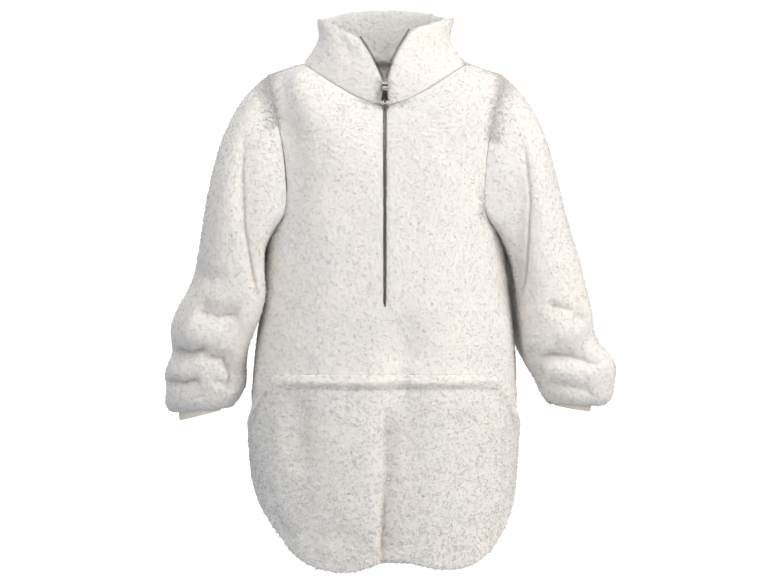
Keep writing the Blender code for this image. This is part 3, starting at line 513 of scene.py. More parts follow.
def wall_directions(node, piece):
    """Tells which vertices lie on the outer face and gives every vertex its wall's outward direction."""
    mesh = piece.data
    points = coordinates(mesh)
    count = len(mesh.polygons)
    facing = np.empty(count * 3)
    middle = np.empty(count * 3)
    area = np.empty(count)
    sizes = np.empty(count, dtype=int)
    corners = np.empty(len(mesh.loops), dtype=int)
    mesh.polygons.foreach_get("normal", facing)
    mesh.polygons.foreach_get("center", middle)
    mesh.polygons.foreach_get("area", area)
    mesh.polygons.foreach_get("loop_total", sizes)
    mesh.loops.foreach_get("vertex_index", corners)
    facing = facing.reshape(-1, 3)
    owner = np.repeat(np.arange(count), sizes)
    rim = np.bincount(owner, weights=values_of(mesh, "rim")[corners]) / sizes
    side = np.einsum("ij,ij->i", facing, away_from_middle(node, middle.reshape(-1, 3)))
    ways = []
    for chosen in ((side > 0.0) & (rim < RIM_LIMIT), (side <= 0.0) & (rim < RIM_LIMIT)):
        used = chosen[owner]
        total = np.zeros_like(points)
        np.add.at(total, corners[used], (facing * area[:, None])[owner[used]])
        ways.append(total)
    outer = np.linalg.norm(ways[0], axis=1) > 0.0
    outward = np.where(outer[:, None], ways[0], -ways[1])
    length = np.linalg.norm(outward, axis=1)
    known = np.nonzero(length > 0.0)[0]
    outward[known] /= length[known][:, None]
    tree = kdtree.KDTree(len(known))
    for number in known:
        tree.insert(points[number], int(number))
    tree.balance()
    for number in np.nonzero(length == 0.0)[0]:
        outward[number] = outward[tree.find(points[number])[1]]
    return outer, outward


def path_press(points, path, width_right, width_left):
    """How much of a fold's depth each point takes, by its place beside the path, from 0 to 1."""
    flat = points[:, [0, 2]] / METRES
    corners = np.array(path, dtype=float)
    lengths = np.linalg.norm(np.diff(corners, axis=0), axis=1)
    total = lengths.sum()
    nearest = np.full(len(flat), 1e9)
    share = np.zeros(len(flat))
    side = np.zeros(len(flat))
    passed = 0.0
    for start, end, length in zip(corners[:-1], corners[1:], lengths):
        run = end - start
        step = np.clip(((flat - start) @ run) / length ** 2, 0.0, 1.0)
        gap = flat - (start + step[:, None] * run)
        distance = np.linalg.norm(gap, axis=1)
        closer = distance < nearest
        nearest[closer] = distance[closer]
        share[closer] = (passed + step[closer] * length) / total
        side[closer] = (run[0] * gap[:, 1] - run[1] * gap[:, 0])[closer]
        passed += length
    width = np.where(side > 0.0, width_right, width_left)
    ends = smooth_share(np.minimum(share, 1.0 - share) / FOLD_END)
    return ends * np.exp(-(nearest / width) ** 2)


def lay_folds(node, piece, outward):
    """Presses the folds and creases of one panel into both faces of its wall and keeps the creases' painted
    shade as a point value.
    """
    points = coordinates(piece.data)
    rise = np.zeros(len(points))
    for panel, view, depth, width_right, width_left, path in FOLDS:
        if panel != node:
            continue
        facing = -outward[:, 1] if view == "front" else outward[:, 1]
        shown = smooth_share((facing + FOLD_WRAP) / FOLD_TURN)
        rise -= shown * path_press(points, path, width_right, width_left) * depth * METRES
    # Painted shade: how much darker each point is painted along the creases, kept as the point value crease
    shade = np.zeros(len(points))
    for panel, depth, width, strength, path in CREASES:
        if panel != node:
            continue
        press = smooth_share(-outward[:, 1] / CREASE_TURN) * path_press(points, path, width, width)
        rise -= press * depth * METRES
        shade = np.maximum(shade, press * strength)
    keep_values(piece.data, "crease", shade)
    move_points(piece.data, points + outward * rise[:, None])


def pile_side(node, piece):
    """Tells which vertices carry pile: the outer face, all of the collar and the back's neck inside."""
    piled, _ = wall_directions(node, piece)
    if node == "collar":
        piled[:] = True
    if node == "back":
        piled |= coordinates(piece.data)[:, 2] > NECK_INSIDE_LEVEL
    return piled


def turn_inner_pile(node, piece, outward):
    """Marks the collar's inner face for painted shade and turns the pile of an inner face inwards."""
    outside, _ = wall_directions(node, piece)
    inner = (1.0 - outside).astype(np.float32)
    # Painted shade: only the collar's inner face is marked to be painted darker; the other panels keep none
    keep_values(piece.data, "inner", inner if node == "collar" else inner * 0.0)
    inward = values_of(piece.data, "outside") * inner
    return outward * (1.0 - 2.0 * inward[:, None])


def refine_outside(piece, outer, lowest):
    """Divides the outer faces and free rims once more so that they can hold the curl clumps."""
    mesh = piece.data
    free_rim = (values_of(mesh, "rim") > RIM_LIMIT) & (values_of(mesh, "seam") < FREE_LIMIT)
    covered = outer | free_rim
    keep_values(mesh, "outside", covered.astype(np.float32))
    select_only(piece)
    bpy.ops.object.mode_set(mode="EDIT")
    bpy.ops.mesh.select_mode(type="FACE")
    bpy.ops.mesh.select_all(action="DESELECT")
    bpy.ops.object.mode_set(mode="OBJECT")
    for face in mesh.polygons:
        face.select = all(bool(covered[v]) for v in face.vertices) and face.center.z > lowest
    bpy.ops.object.mode_set(mode="EDIT")
    bpy.ops.mesh.subdivide(number_cuts=1)
    bpy.ops.object.mode_set(mode="OBJECT")


def raise_clumps(piece, outward, size, height, level):
    """Lifts rounded curl clumps on the marked side of a panel and dips it along its seams."""
    mesh = piece.data
    points = coordinates(mesh)
    mark = values_of(mesh, "outside")
    near = values_of(mesh, "seam")
    rim = values_of(mesh, "rim")[:, None]
    way = outward * (1.0 - rim) + normals(mesh) * rim
    rise = np.zeros(len(points))
    noise.seed_set(CLUMP_SEED)
    for number in np.nonzero((mark > 0.01) & (points[:, 2] > level))[0]:
        place = Vector(points[number])
        drift = noise.noise_vector(place / (size * DRIFT_SIZE)) * DRIFT_REACH
        close = noise.voronoi(place / size + drift)[0]
        dome = math.sqrt(min((close[1] - close[0]) / DOME_EDGE, 1.0))
        grain = noise.noise(place / (size * GRAIN_SIZE))
        swell = noise.noise(place / SWELL_SIZE)
        share = DOME_SHARE * dome + GRAIN_SHARE * grain + SWELL_SHARE * swell - GAP_SHARE
        rise[number] = mark[number] * height * share
    rise -= SEAM_DIP * near ** 4
    move_points(mesh, points + way * rise[:, None])


def scatter_curls(piece, name, count, length, width, level, seed):
    """Makes loose curled fibres on the outside of a panel as one joined mesh."""
    mesh = piece.data
    mesh.calc_loop_triangles()
    corners = np.empty(len(mesh.loop_triangles) * 3, dtype=int)
    mesh.loop_triangles.foreach_get("vertices", corners)
    corners = corners.reshape(-1, 3)
    points = coordinates(mesh)
    facing = normals(mesh)
    mark = values_of(mesh, "outside")
    first, second, third = (points[corners[:, k]] for k in range(3))
    area = np.linalg.norm(np.cross(second - first, third - first), axis=1) / 2.0
    area *= mark[corners].min(axis=1) > 0.5
    middle = points[corners].mean(axis=1)
    area *= middle[:, 2] > level
    area *= 1.0 + SEAM_CURLS * values_of(mesh, "seam")[corners].mean(axis=1) ** 3
    before_zip = (middle[:, 2] > ZIP_FOOT_LEVEL) & (middle[:, 1] < ZIP_BACK_END)
    area *= ~((np.abs(middle[:, 0]) < ZIP_CLEAR) & before_zip)
    # Fewer loose curls where the painted crease shade lies, so that it shows
    area *= 1.0 - 0.85 * values_of(mesh, "crease")[corners].mean(axis=1)
    random = np.random.default_rng(seed)
    picked = random.choice(len(corners), size=count, p=area / area.sum())
    split = random.random((count, 2))
    flip = split.sum(axis=1) > 1.0
    split[flip] = 1.0 - split[flip]
    weight = np.stack([1.0 - split.sum(axis=1), split[:, 0], split[:, 1]], axis=1)
    root = np.einsum("ij,ijk->ik", weight, points[corners[picked]])
    up = np.einsum("ij,ijk->ik", weight, facing[corners[picked]])
    up /= np.linalg.norm(up, axis=1)[:, None]
    side = np.cross(up, random.normal(size=(count, 3)))
    side /= np.linalg.norm(side, axis=1)[:, None]
    lean = np.cross(side, up)
    low = smooth_share((HANG_LEVEL - root[:, 2]) / HANG_RANGE)
    down = np.array([0.0, 0.0, -1.0]) + up * up[:, 2:3]
    lean += down * (0.35 + 0.9 * low)[:, None]
    lean /= np.linalg.norm(lean, axis=1)[:, None]
    side = np.cross(up, lean)
    side /= np.linalg.norm(side, axis=1)[:, None]
    reach = length * random.uniform(0.65, 1.25, count) * (1.0 + 0.35 * low)
    broad = width * random.uniform(0.7, 1.3, count)
    start_angle = random.uniform(-0.2, 0.8, count)
    bend = random.uniform(0.9, 1.7, count)
    line = [root - up * CURL_ROOT]
    for step in range(CURL_STEPS):
        angle = start_angle + bend * step
        way = np.cos(angle)[:, None] * up + np.sin(angle)[:, None] * lean
        line.append(line[-1] + way * (reach / CURL_STEPS)[:, None])
    rows = []
    for step, share in enumerate(CURL_TAPER):
        rows.append(line[step] - side * (broad * share / 2.0)[:, None])
        rows.append(line[step] + side * (broad * share / 2.0)[:, None])
    rows.append(line[-1])
    curl_points = np.stack(rows, axis=1).reshape(-1, 3)
    base = (np.arange(count) * CURL_POINTS)[:, None]
    quads = np.concatenate([base + np.array([0, 1, 3, 2]), base + np.array([2, 3, 5, 4])], axis=0)
    tips = base + np.array([4, 5, 6])
    curls = bpy.data.meshes.new(name)
    curls.vertices.add(len(curl_points))
    curls.vertices.foreach_set("co", curl_points.reshape(-1))
    loops = np.concatenate([quads.reshape(-1), tips.reshape(-1)])
    curls.loops.add(len(loops))
    curls.loops.foreach_set("vertex_index", loops)
    starts = np.concatenate([np.arange(len(quads)) * 4, len(quads) * 4 + np.arange(len(tips)) * 3])
    curls.polygons.add(len(starts))
    curls.polygons.foreach_set("loop_start", starts)
    curls.update(calc_edges=True)
    curls.validate()
    # The curls take over the painted shade of the collar's inner face and of the creases
    for kind in ("inner", "crease"):
        share = np.einsum("ij,ij->i", weight, values_of(mesh, kind)[corners[picked]])
        keep_values(curls, kind, np.repeat(share, CURL_POINTS))
    fluff = linked_object(name, curls)
    select_only(fluff)
    bpy.ops.object.shade_smooth()
    return fluff


def plain_faces(piece):
    """Joins the flat triangles of a merged copy into whole faces."""
    select_only(piece)
    bpy.ops.object.mode_set(mode="EDIT")
    bpy.ops.mesh.select_all(action="SELECT")
    bpy.ops.mesh.dissolve_limited(angle_limit=math.radians(2.0))
    bpy.ops.object.mode_set(mode="OBJECT")


def soften_edges(piece, width, segments):
    """Rounds the hard edges of a small part."""
    modifier = piece.modifiers.new("Edges", "BEVEL")
    modifier.width = width
    modifier.segments = segments
    modifier.limit_method = "ANGLE"
    modifier.angle_limit = math.radians(30.0)
    modifier.use_clamp_overlap = True
    apply_all(piece)
    bpy.ops.object.shade_smooth_by_angle(angle=math.radians(40.0))


def zip_tooth():
    """One metal tooth: its head points to -X, its legs to +X, and its face to -Y."""
    bpy.ops.object.select_all(action="DESELECT")
    bpy.ops.mesh.primitive_cube_add(size=1.0, scale=TOOTH_SIZE)
    tooth = bpy.context.object
    bpy.ops.object.transform_apply(location=False, rotation=False, scale=True)
    bpy.ops.object.mode_set(mode="EDIT")
    bpy.ops.mesh.select_mode(type="FACE")
    bpy.ops.mesh.select_all(action="DESELECT")
    bpy.ops.object.mode_set(mode="OBJECT")
    for face in tooth.data.polygons:
        face.select = face.normal.x < -0.9
    bpy.ops.object.mode_set(mode="EDIT")
    bpy.ops.mesh.inset(thickness=TOOTH_HEAD_INSET)
    bpy.ops.mesh.extrude_region_move(TRANSFORM_OT_translate={"value": (-TOOTH_HEAD_LENGTH, 0.0, 0.0)})
    bpy.ops.mesh.select_all(action="SELECT")
    bpy.ops.transform.translate(value=(TOOTH_SHIFT, 0.0, 0.0))
    bpy.ops.object.mode_set(mode="OBJECT")
    soften_edges(tooth, TOOTH_EDGE, 1)
    mesh = tooth.data
    bpy.data.objects.remove(tooth)
    return mesh


def bar_stations(node):
    """Middle of each station of a four-sided CAD bar and the way across it, from its foot up."""
    points = np.unique(np.round(coordinates(NODES[node].data), 6), axis=0)
    points = points[np.argsort(points[:, 2])]
    breaks = np.nonzero(np.diff(points[:, 2]) > STATION_BREAK)[0] + 1
    middles = []
    across = []
    for group in np.split(points, breaks):
        order = np.argsort(group[:, 0])
        half = len(group) // 2
        low, high = group[order[:half]].mean(axis=0), group[order[-half:]].mean(axis=0)
        middles.append(group.mean(axis=0))
        across.append((high - low) / np.linalg.norm(high - low))
    return np.array(middles), np.array(across)


def lay_teeth(name, tooth, node, pitch, sides):
    """Sets copies of the tooth along a CAD bar, each side with its share of a pitch as an offset."""
    middles, across = bar_stations(node)
    lengths = np.linalg.norm(np.diff(middles, axis=0), axis=1)
    run = np.concatenate([[0.0], np.cumsum(lengths)])
    form = coordinates(tooth)
    corners = [tuple(face.vertices) for face in tooth.polygons]
    points = []
    faces = []
    for side, offset in sides:
        for place in np.arange(pitch * (0.5 + offset), run[-1] - pitch * 0.3, pitch):
            centre = np.array([np.interp(place, run, middles[:, k]) for k in range(3)])
            ahead = np.array([np.interp(place + 0.001, run, middles[:, k]) for k in range(3)])
            behind = np.array([np.interp(place - 0.001, run, middles[:, k]) for k in range(3)])
            along = (ahead - behind) / np.linalg.norm(ahead - behind)
            right = np.array([np.interp(place, run, across[:, k]) for k in range(3)])
            right = right - along * (right @ along)
            right /= np.linalg.norm(right)
            deep = np.cross(along, right)
            local = form * np.array([side, 1.0, 1.0])
            start = len(points)
            points.extend(centre + local[:, :1] * right + local[:, 1:2] * deep + local[:, 2:] * along)
            turned = side < 0.0
            faces.extend(tuple(start + v for v in (loop[::-1] if turned else loop)) for loop in corners)
    teeth = object_from(name, points, faces)
    select_only(teeth)
    bpy.ops.object.shade_smooth_by_angle(angle=math.radians(35.0))
    return teeth


def stitch_places():
    """Panel, place, angle and stretch of every stitch of the sewn lines and the bar tacks."""
    places = []
    for panel, spacing, path in SEWN_LINES:
        corners = np.array(path, dtype=float)
        run = np.concatenate([[0.0], np.cumsum(np.linalg.norm(np.diff(corners, axis=0), axis=1))])
        for at in np.arange(spacing / 2.0, run[-1], spacing):
            spot = [np.interp(at, run, corners[:, k]) for k in (0, 1)]
            ahead = [np.interp(at + 1.0, run, corners[:, k]) for k in (0, 1)]
            places.append((panel, spot, math.atan2(ahead[1] - spot[1], ahead[0] - spot[0]), 1.0))
    for panel, spot, width in BAR_TACKS:
        for step in range(TACK_STITCHES):
            beside = (spot[0] - width / 2.0 + width * step / (TACK_STITCHES - 1), spot[1])
            places.append((panel, beside, math.radians(TACK_ANGLES[step % 2]), TACK_STRETCH))
    return places


def one_stitch():
    """One sewn stitch along X that arches out to -Y and dips at its ends."""
    bpy.ops.object.select_all(action="DESELECT")
    bpy.ops.mesh.primitive_cylinder_add(vertices=6, radius=STITCH_RADIUS, depth=STITCH_LENGTH,
                                        rotation=(0.0, math.pi / 2.0, 0.0))
    stitch = bpy.context.object
    bpy.ops.object.transform_apply(location=False, rotation=True, scale=False)
    bpy.ops.object.mode_set(mode="EDIT")
    bpy.ops.mesh.select_all(action="SELECT")
    bpy.ops.mesh.bisect(plane_co=(0.0, 0.0, 0.0), plane_no=(1.0, 0.0, 0.0))
    bpy.ops.transform.translate(value=(0.0, -STITCH_ARCH, 0.0))
    bpy.ops.mesh.select_all(action="SELECT")
    bpy.ops.mesh.subdivide(number_cuts=1, smoothness=0.6)
    bpy.ops.object.mode_set(mode="OBJECT")
    bpy.ops.object.shade_smooth()
    mesh = stitch.data
    bpy.data.objects.remove(stitch)
    return mesh


def lay_stitches(name, stitch, places):
    """Lays copies of the stitch on the panels at places seen from the front."""
    form = coordinates(stitch)
    corners = [tuple(face.vertices) for face in stitch.polygons]
    points = []
    faces = []
    for panel, spot, angle, stretch in places:
        start = Vector((spot[0] * METRES, -0.5, spot[1] * METRES))
        hit, place, facing, _ = bpy.data.objects[panel + "_panel"].ray_cast(start, Vector((0.0, 1.0, 0.0)))
        if not hit:
            raise RuntimeError(f"no {panel} at {spot}")
        along = Vector((math.cos(angle), 0.0, math.sin(angle)))
        out = Vector((0.0, -1.0, 0.0)).lerp(facing, 0.4).normalized()
        along = (along - out * along.dot(out)).normalized()
        up = along.cross(-out)
        first = len(points)
        for x, y, z in form:
            points.append(place + along * (x * stretch) + out * (STITCH_LIFT - y) + up * z)
        faces.extend(tuple(first + v for v in loop) for loop in corners)
    sewn = object_from(name, points, faces)
    select_only(sewn)
    bpy.ops.object.mode_set(mode="EDIT")
    bpy.ops.mesh.select_all(action="SELECT")
    bpy.ops.mesh.normals_make_consistent(inside=False)
    bpy.ops.object.mode_set(mode="OBJECT")
    bpy.ops.object.shade_smooth()
    return sewn


def new_material(name):
    """Starts a node material and returns it with its nodes, links and shader."""
    material = bpy.data.materials.new(name)
    material.use_nodes = True
    nodes = material.node_tree.nodes
    links = material.node_tree.links
    return material, nodes, links, nodes["Principled BSDF"]


def add_node(nodes, kind, **values):
    """Adds one node and sets its inputs and settings by name."""
    node = nodes.new(kind)
    for name, value in values.items():
        socket = name.replace("_", " ").title()
        if hasattr(node, name):
            setattr(node, name, value)
        elif socket in node.inputs:
            node.inputs[socket].default_value = value
        else:
            raise ValueError(f"{kind} has no {name}")
    return node


def grey(value):
    """A grey of this brightness, ready for a ramp."""
    return (value, value, value, 1.0)


def shaded(color, factor, tint=(1.0, 1.0, 1.0)):
    """A colour made darker or lighter with a tint, ready for a ramp."""
    return tuple(min(1.0, c * factor * t) for c, t in zip(color, tint)) + (1.0,)


def ramp_color(nodes, links, value, stops):
    """Turns a value into a colour by a ramp with the given places and colours."""
    ramp = nodes.new("ShaderNodeValToRGB")
    elements = ramp.color_ramp.elements
    elements[0].position, elements[0].color = stops[0]
    elements[1].position, elements[1].color = stops[-1]
    for place, color in stops[1:-1]:
        elements.new(place).color = color
    links.new(value, ramp.inputs["Fac"])
    return ramp.outputs["Color"]


def multiplied(nodes, links, color, tint, factor):
    """Multiplies a colour by a tint to a share; tint and factor are a value or a node's output."""
    mix = add_node(nodes, "ShaderNodeMix", data_type="RGBA", blend_type="MULTIPLY")
    links.new(color, mix.inputs["A"])
    for name, given in (("B", tint), ("Factor", factor)):
        if isinstance(given, bpy.types.NodeSocket):
            links.new(given, mix.inputs[name])
        else:
            mix.inputs[name].default_value = given
    return mix.outputs["Result"]


def place_textures(nodes, links, *textures):
    """Places textures by the piece's own coordinates and returns those coordinates."""
    place = nodes.new("ShaderNodeTexCoord").outputs["Object"]
    for texture in textures:
        links.new(place, texture.inputs["Vector"])
    return place


def summed(nodes, links, first, share, second):
    """Adds a share of one value to another."""
    total = add_node(nodes, "ShaderNodeMath", operation="MULTIPLY_ADD")
    links.new(first, total.inputs[0])
    total.inputs[1].default_value = share
    links.new(second, total.inputs[2])
    return total.outputs["Value"]


def fine_relief(nodes, links, shader, height, strength, distance):
    """Gives a material a relief too fine for its mesh."""
    bump = add_node(nodes, "ShaderNodeBump", strength=strength, distance=distance)
    links.new(height, bump.inputs["Height"])
    links.new(bump.outputs["Normal"], shader.inputs["Normal"])


def pile_material(settings, name):
    """Curly cream pile with soft colour drift, fine fibre relief and painted shade: darker in the low parts
    of the curl relief, on the collar's inner face and in the creases.
    """
    material, nodes, links, shader = new_material(name)
    drift = add_node(nodes, "ShaderNodeTexNoise", scale=9.0, detail=3.0)
    clumps = add_node(nodes, "ShaderNodeTexVoronoi", scale=150.0, randomness=1.0)
    curls = add_node(nodes, "ShaderNodeTexNoise", scale=420.0, detail=3.0, distortion=1.4)
    place_textures(nodes, links, drift, clumps, curls)
    base = ramp_color(nodes, links, drift.outputs["Fac"], [
        (0.36, shaded(settings.color, 0.985, (0.99, 0.998, 1.012))),
        (0.5, shaded(settings.color, 1.0)),
        (0.66, shaded(settings.color, 1.02, (1.01, 1.0, 0.985)))])
    # Painted shade: the low parts of the fine curl relief are painted a little darker, as shade between curls
    depth = ramp_color(nodes, links, curls.outputs["Fac"], [
        (0.3, (0.955, 0.945, 0.93, 1.0)),
        (0.62, grey(1.0))])
    shown = multiplied(nodes, links, base, depth, 0.9)
    # Painted shade: the collar's inner face is painted a cool grey and the creases a warm dark, by the point
    # values inner and crease
    for kind, tint in (("inner", (0.86, 0.88, 0.89, 1.0)), ("crease", (0.64, 0.60, 0.565, 1.0))):
        amount = add_node(nodes, "ShaderNodeAttribute", attribute_name=kind)
        shown = multiplied(nodes, links, shown, tint, amount.outputs["Fac"])
    links.new(shown, shader.inputs["Base Color"])
    height = summed(nodes, links, clumps.outputs["Distance"], -0.6, curls.outputs["Fac"])
    fine_relief(nodes, links, shader, height, 0.36, 0.0014)
    shader.inputs["Roughness"].default_value = 0.92
    shader.inputs["Specular IOR Level"].default_value = 0.18
    shader.inputs["Sheen Weight"].default_value = 0.22
    shader.inputs["Sheen Roughness"].default_value = 0.55
    shader.inputs["Subsurface Weight"].default_value = 0.6
    shader.inputs["Subsurface Scale"].default_value = 0.006
    shader.inputs["Subsurface Radius"].default_value = (1.0, 0.92, 0.82)
    return material


def thread_material(settings):
    """Twisted sewing thread painted a little darker than the pile as shade on the stitches, and darker still
    in the grooves of its twist as painted shade.
    """
    material, nodes, links, shader = new_material("sewing_thread")
    twist = add_node(nodes, "ShaderNodeTexWave", scale=900.0, distortion=0.5, detail=0.0)
    twist.bands_direction = "DIAGONAL"
    place_textures(nodes, links, twist)
    # Painted shade: the thread darker than the pile, darkest in the grooves of its twist
    base = ramp_color(nodes, links, twist.outputs["Fac"], [
        (0.2, shaded(settings.color, 0.74)),
        (0.8, shaded(settings.color, 0.92))])
    links.new(base, shader.inputs["Base Color"])
    fine_relief(nodes, links, shader, twist.outputs["Fac"], 0.5, 0.0002)
    shader.inputs["Roughness"].default_value = 0.6
    return material


def rib_material(settings):
    """Smooth ivory rib knit."""
    material, nodes, links, shader = new_material("rib_knit")
    drift = add_node(nodes, "ShaderNodeTexNoise", scale=30.0, detail=2.0)
    rows = add_node(nodes, "ShaderNodeTexWave", scale=260.0, distortion=0.6, detail=1.0)
    rows.bands_direction = "Z"
    fibre = add_node(nodes, "ShaderNodeTexNoise", scale=900.0, detail=2.0)
    place_textures(nodes, links, drift, rows, fibre)
    base = ramp_color(nodes, links, drift.outputs["Fac"], [
        (0.35, shaded(settings.color, 0.93, (1.02, 0.97, 0.93))),
        (0.65, shaded(settings.color, 1.05))])
    links.new(base, shader.inputs["Base Color"])
    height = summed(nodes, links, rows.outputs["Fac"], 0.8, fibre.outputs["Fac"])
    fine_relief(nodes, links, shader, height, 0.5, 0.0005)
    shader.inputs["Roughness"].default_value = 0.8
    shader.inputs["Sheen Weight"].default_value = 0.15
    return material


def metal_material(settings, name, light, bands=None):
    """Worn antique silver; bands paint highlights and darker stretches by level, from the pull's foot up to
    the slider's top.
    """
    material, nodes, links, shader = new_material(name)
    wear = add_node(nodes, "ShaderNodeTexNoise", scale=700.0, detail=4.0)
    place = place_textures(nodes, links, wear)
    shown = ramp_color(nodes, links, wear.outputs["Fac"], [
        (0.38, shaded(settings.metal_color, 0.5 * light)),
        (0.52, shaded(settings.metal_color, 1.0 * light)),
        (0.68, shaded(settings.metal_color, 1.9 * light))])
    if bands:
        foot, top = bands[0][0], bands[-1][0]
        level = nodes.new("ShaderNodeSeparateXYZ")
        links.new(place, level.inputs["Vector"])
        share = add_node(nodes, "ShaderNodeMapRange")
        share.inputs["From Min"].default_value = foot
        share.inputs["From Max"].default_value = top
        links.new(level.outputs["Z"], share.inputs["Value"])
        # Painted highlights: bright and dark bands by level multiplied into the metal's colour
        painted_highlights = ramp_color(nodes, links, share.outputs["Result"],
                            [((height - foot) / (top - foot), grey(bright)) for height, bright in bands])
        shown = multiplied(nodes, links, shown, painted_highlights, 1.0)
    links.new(shown, shader.inputs["Base Color"])
    gloss = ramp_color(nodes, links, wear.outputs["Fac"], [(0.3, grey(0.48)), (0.7, grey(0.28))])
    links.new(gloss, shader.inputs["Roughness"])
    fine_relief(nodes, links, shader, wear.outputs["Fac"], 0.2, 0.0002)
    shader.inputs["Metallic"].default_value = 1.0
    return material


def tape_material(settings):
    """Woven zip tape with fine slanted rows."""
    material, nodes, links, shader = new_material("zip_tape_weave")
    weave = add_node(nodes, "ShaderNodeTexWave", scale=420.0, distortion=1.5, detail=1.0)
    weave.bands_direction = "DIAGONAL"
    place_textures(nodes, links, weave)
    base = ramp_color(nodes, links, weave.outputs["Fac"], [
        (0.2, shaded(settings.tape_color, 0.86)),
        (0.8, shaded(settings.tape_color, 1.04))])
    links.new(base, shader.inputs["Base Color"])
    fine_relief(nodes, links, shader, weave.outputs["Fac"], 0.4, 0.0003)
    shader.inputs["Roughness"].default_value = 0.85
    return material


def studio_material():
    """Plain white floor and wall with a glow of their own and a trace of grain."""
    material, nodes, links, shader = new_material("studio_white")
    grain = add_node(nodes, "ShaderNodeTexNoise", scale=1.5, detail=2.0)
    place_textures(nodes, links, grain)
    base = ramp_color(nodes, links, grain.outputs["Fac"], [(0.3, grey(0.50)), (0.7, grey(0.52))])
    links.new(base, shader.inputs["Base Color"])
    shader.inputs["Roughness"].default_value = 0.9
    shader.inputs["Emission Color"].default_value = grey(1.0)
    shader.inputs["Emission Strength"].default_value = 1.0
    return material


def studio_air(strength):
    """Soft white air, brighter and warmer up on the right, greyer down on the left."""
    world = bpy.data.worlds.new("studio_air")
    world.use_nodes = True
    nodes = world.node_tree.nodes
    links = world.node_tree.links
    place = nodes.new("ShaderNodeTexCoord")
    toward = add_node(nodes, "ShaderNodeVectorMath", operation="DOT_PRODUCT")
    toward.inputs[1].default_value = Vector(AIR_BRIGHT_SIDE).normalized()
    links.new(place.outputs["Generated"], toward.inputs[0])
    spread = add_node(nodes, "ShaderNodeMapRange")
    spread.inputs["From Min"].default_value = -1.0
    links.new(toward.outputs["Value"], spread.inputs["Value"])
    color = ramp_color(nodes, links, spread.outputs["Result"], [
        (0.0, (0.42, 0.45, 0.50, 1.0)),
        (0.5, (0.80, 0.81, 0.83, 1.0)),
        (1.0, (1.10, 1.07, 1.02, 1.0))])
    links.new(color, nodes["Background"].inputs["Color"])
    nodes["Background"].inputs["Strength"].default_value = strength
    return world


def studio_floor(level):
    """Makes a wide white floor that turns up into a wall all round."""
    bpy.ops.object.select_all(action="DESELECT")
    bpy.ops.mesh.primitive_circle_add(vertices=96, radius=FLOOR_RADIUS, fill_type="NGON",
                                      location=(0.0, 0.0, level))
    bowl = bpy.context.object
    bowl.name = "studio_floor"
    bpy.ops.object.mode_set(mode="EDIT")
    bpy.ops.mesh.select_all(action="SELECT")
    bpy.ops.mesh.select_mode(type="EDGE")
    for growth, rise in FLOOR_RINGS:
        bpy.ops.mesh.extrude_region_move(TRANSFORM_OT_translate={"value": (0.0, 0.0, rise)})
        bpy.ops.transform.resize(value=(growth, growth, 1.0), center_override=(0.0, 0.0, 0.0))
    bpy.ops.object.mode_set(mode="OBJECT")
    bpy.ops.object.transform_apply(location=True, rotation=True, scale=True)
    bpy.ops.object.shade_smooth()
    bowl.data.materials.append(studio_material())
    bowl.visible_diffuse = False
    bowl.visible_glossy = False
    return bowl


def studio_light(name, place, size, power, color):
    """Adds one soft light that looks at the middle of the garment."""
    lamp = bpy.data.lights.new("studio_" + name, "AREA")
    lamp.shape = "DISK"
    lamp.size = size
    lamp.energy = power
    lamp.color = color
    holder = linked_object("studio_" + name, lamp)
    holder.location = place
    aim = Vector(GARMENT_MIDDLE) - Vector(place)
    holder.rotation_euler = aim.to_track_quat("-Z", "Y").to_euler()
    holder.visible_camera = False


def studio_camera(lens):
    """Adds the camera, level and straight from the front."""
    eye = bpy.data.cameras.new("studio_camera")
    eye.lens = lens
    eye.sensor_width = CAMERA_SENSOR
    camera = linked_object("studio_camera", eye)
    camera.location = CAMERA_PLACE
    camera.rotation_euler = (math.pi / 2.0, 0.0, 0.0)
    return camera


class PULLOVER_OT_pile_panels(bpy.types.Operator):
    """Dress the body, sleeves, collar and pocket in curly pile"""
    bl_idname = "pullover.pile_panels"
    bl_label = "Pile panels"

    def execute(self, context):
        settings = context.scene.pullover.pile
        ground = pile_material(settings, "pile_ground")
        loose = pile_material(settings, "pile_curls")
        for seed, (node, wall, flat_width, flat_length, flat_area, curls, lowest) in enumerate(PANELS, 1):
            piece = shell_of(node, node + "_panel")
            hold_seams(piece, wall)
            smooth_by(piece, PANEL_LEVELS)
            sharpen_seams(piece)
            refine_outside(piece, pile_side(node, piece), lowest)
            _, outward = wall_directions(node, piece)
            lay_folds(node, piece, outward)
            clump_way = turn_inner_pile(node, piece, outward)
            raise_clumps(piece, clump_way, settings.clump_size, settings.clump_height, lowest)
            piece.data.materials.append(ground)
            fluff = scatter_curls(piece, node + "_curls", curls, settings.curl_length, settings.curl_width,
                                  lowest, seed)
            fluff.data.materials.append(loose)
            for part in (piece, fluff):
                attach(part, "garment")
            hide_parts(node)
        return {"FINISHED"}


class PULLOVER_OT_stitches(bpy.types.Operator):
    """Sew the pocket's top edge down and tack its ends"""
    bl_idname = "pullover.stitches"
    bl_label = "Pocket stitches"

    def execute(self, context):
        thread = thread_material(context.scene.pullover.pile)
        stitch = one_stitch()
        context.view_layer.update()
        sewn = lay_stitches("pocket_stitches", stitch, stitch_places())
        sewn.data.materials.append(thread)
        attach(sewn, "garment")
        bpy.data.meshes.remove(stitch)
        return {"FINISHED"}


class PULLOVER_OT_rib_cuffs(bpy.types.Operator):
    """Knit the two rib cuffs"""
    bl_idname = "pullover.rib_cuffs"
    bl_label = "Rib cuffs"

    def execute(self, context):
        knit = rib_material(context.scene.pullover.cuff)
        for node in ("cuff_left", "cuff_right"):
            piece = shell_of(node, node + "_rib")
            smooth_by(piece, CUFF_LEVELS)
            piece.data.materials.append(knit)
            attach(piece, "garment")
            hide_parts(node)
        return {"FINISHED"}


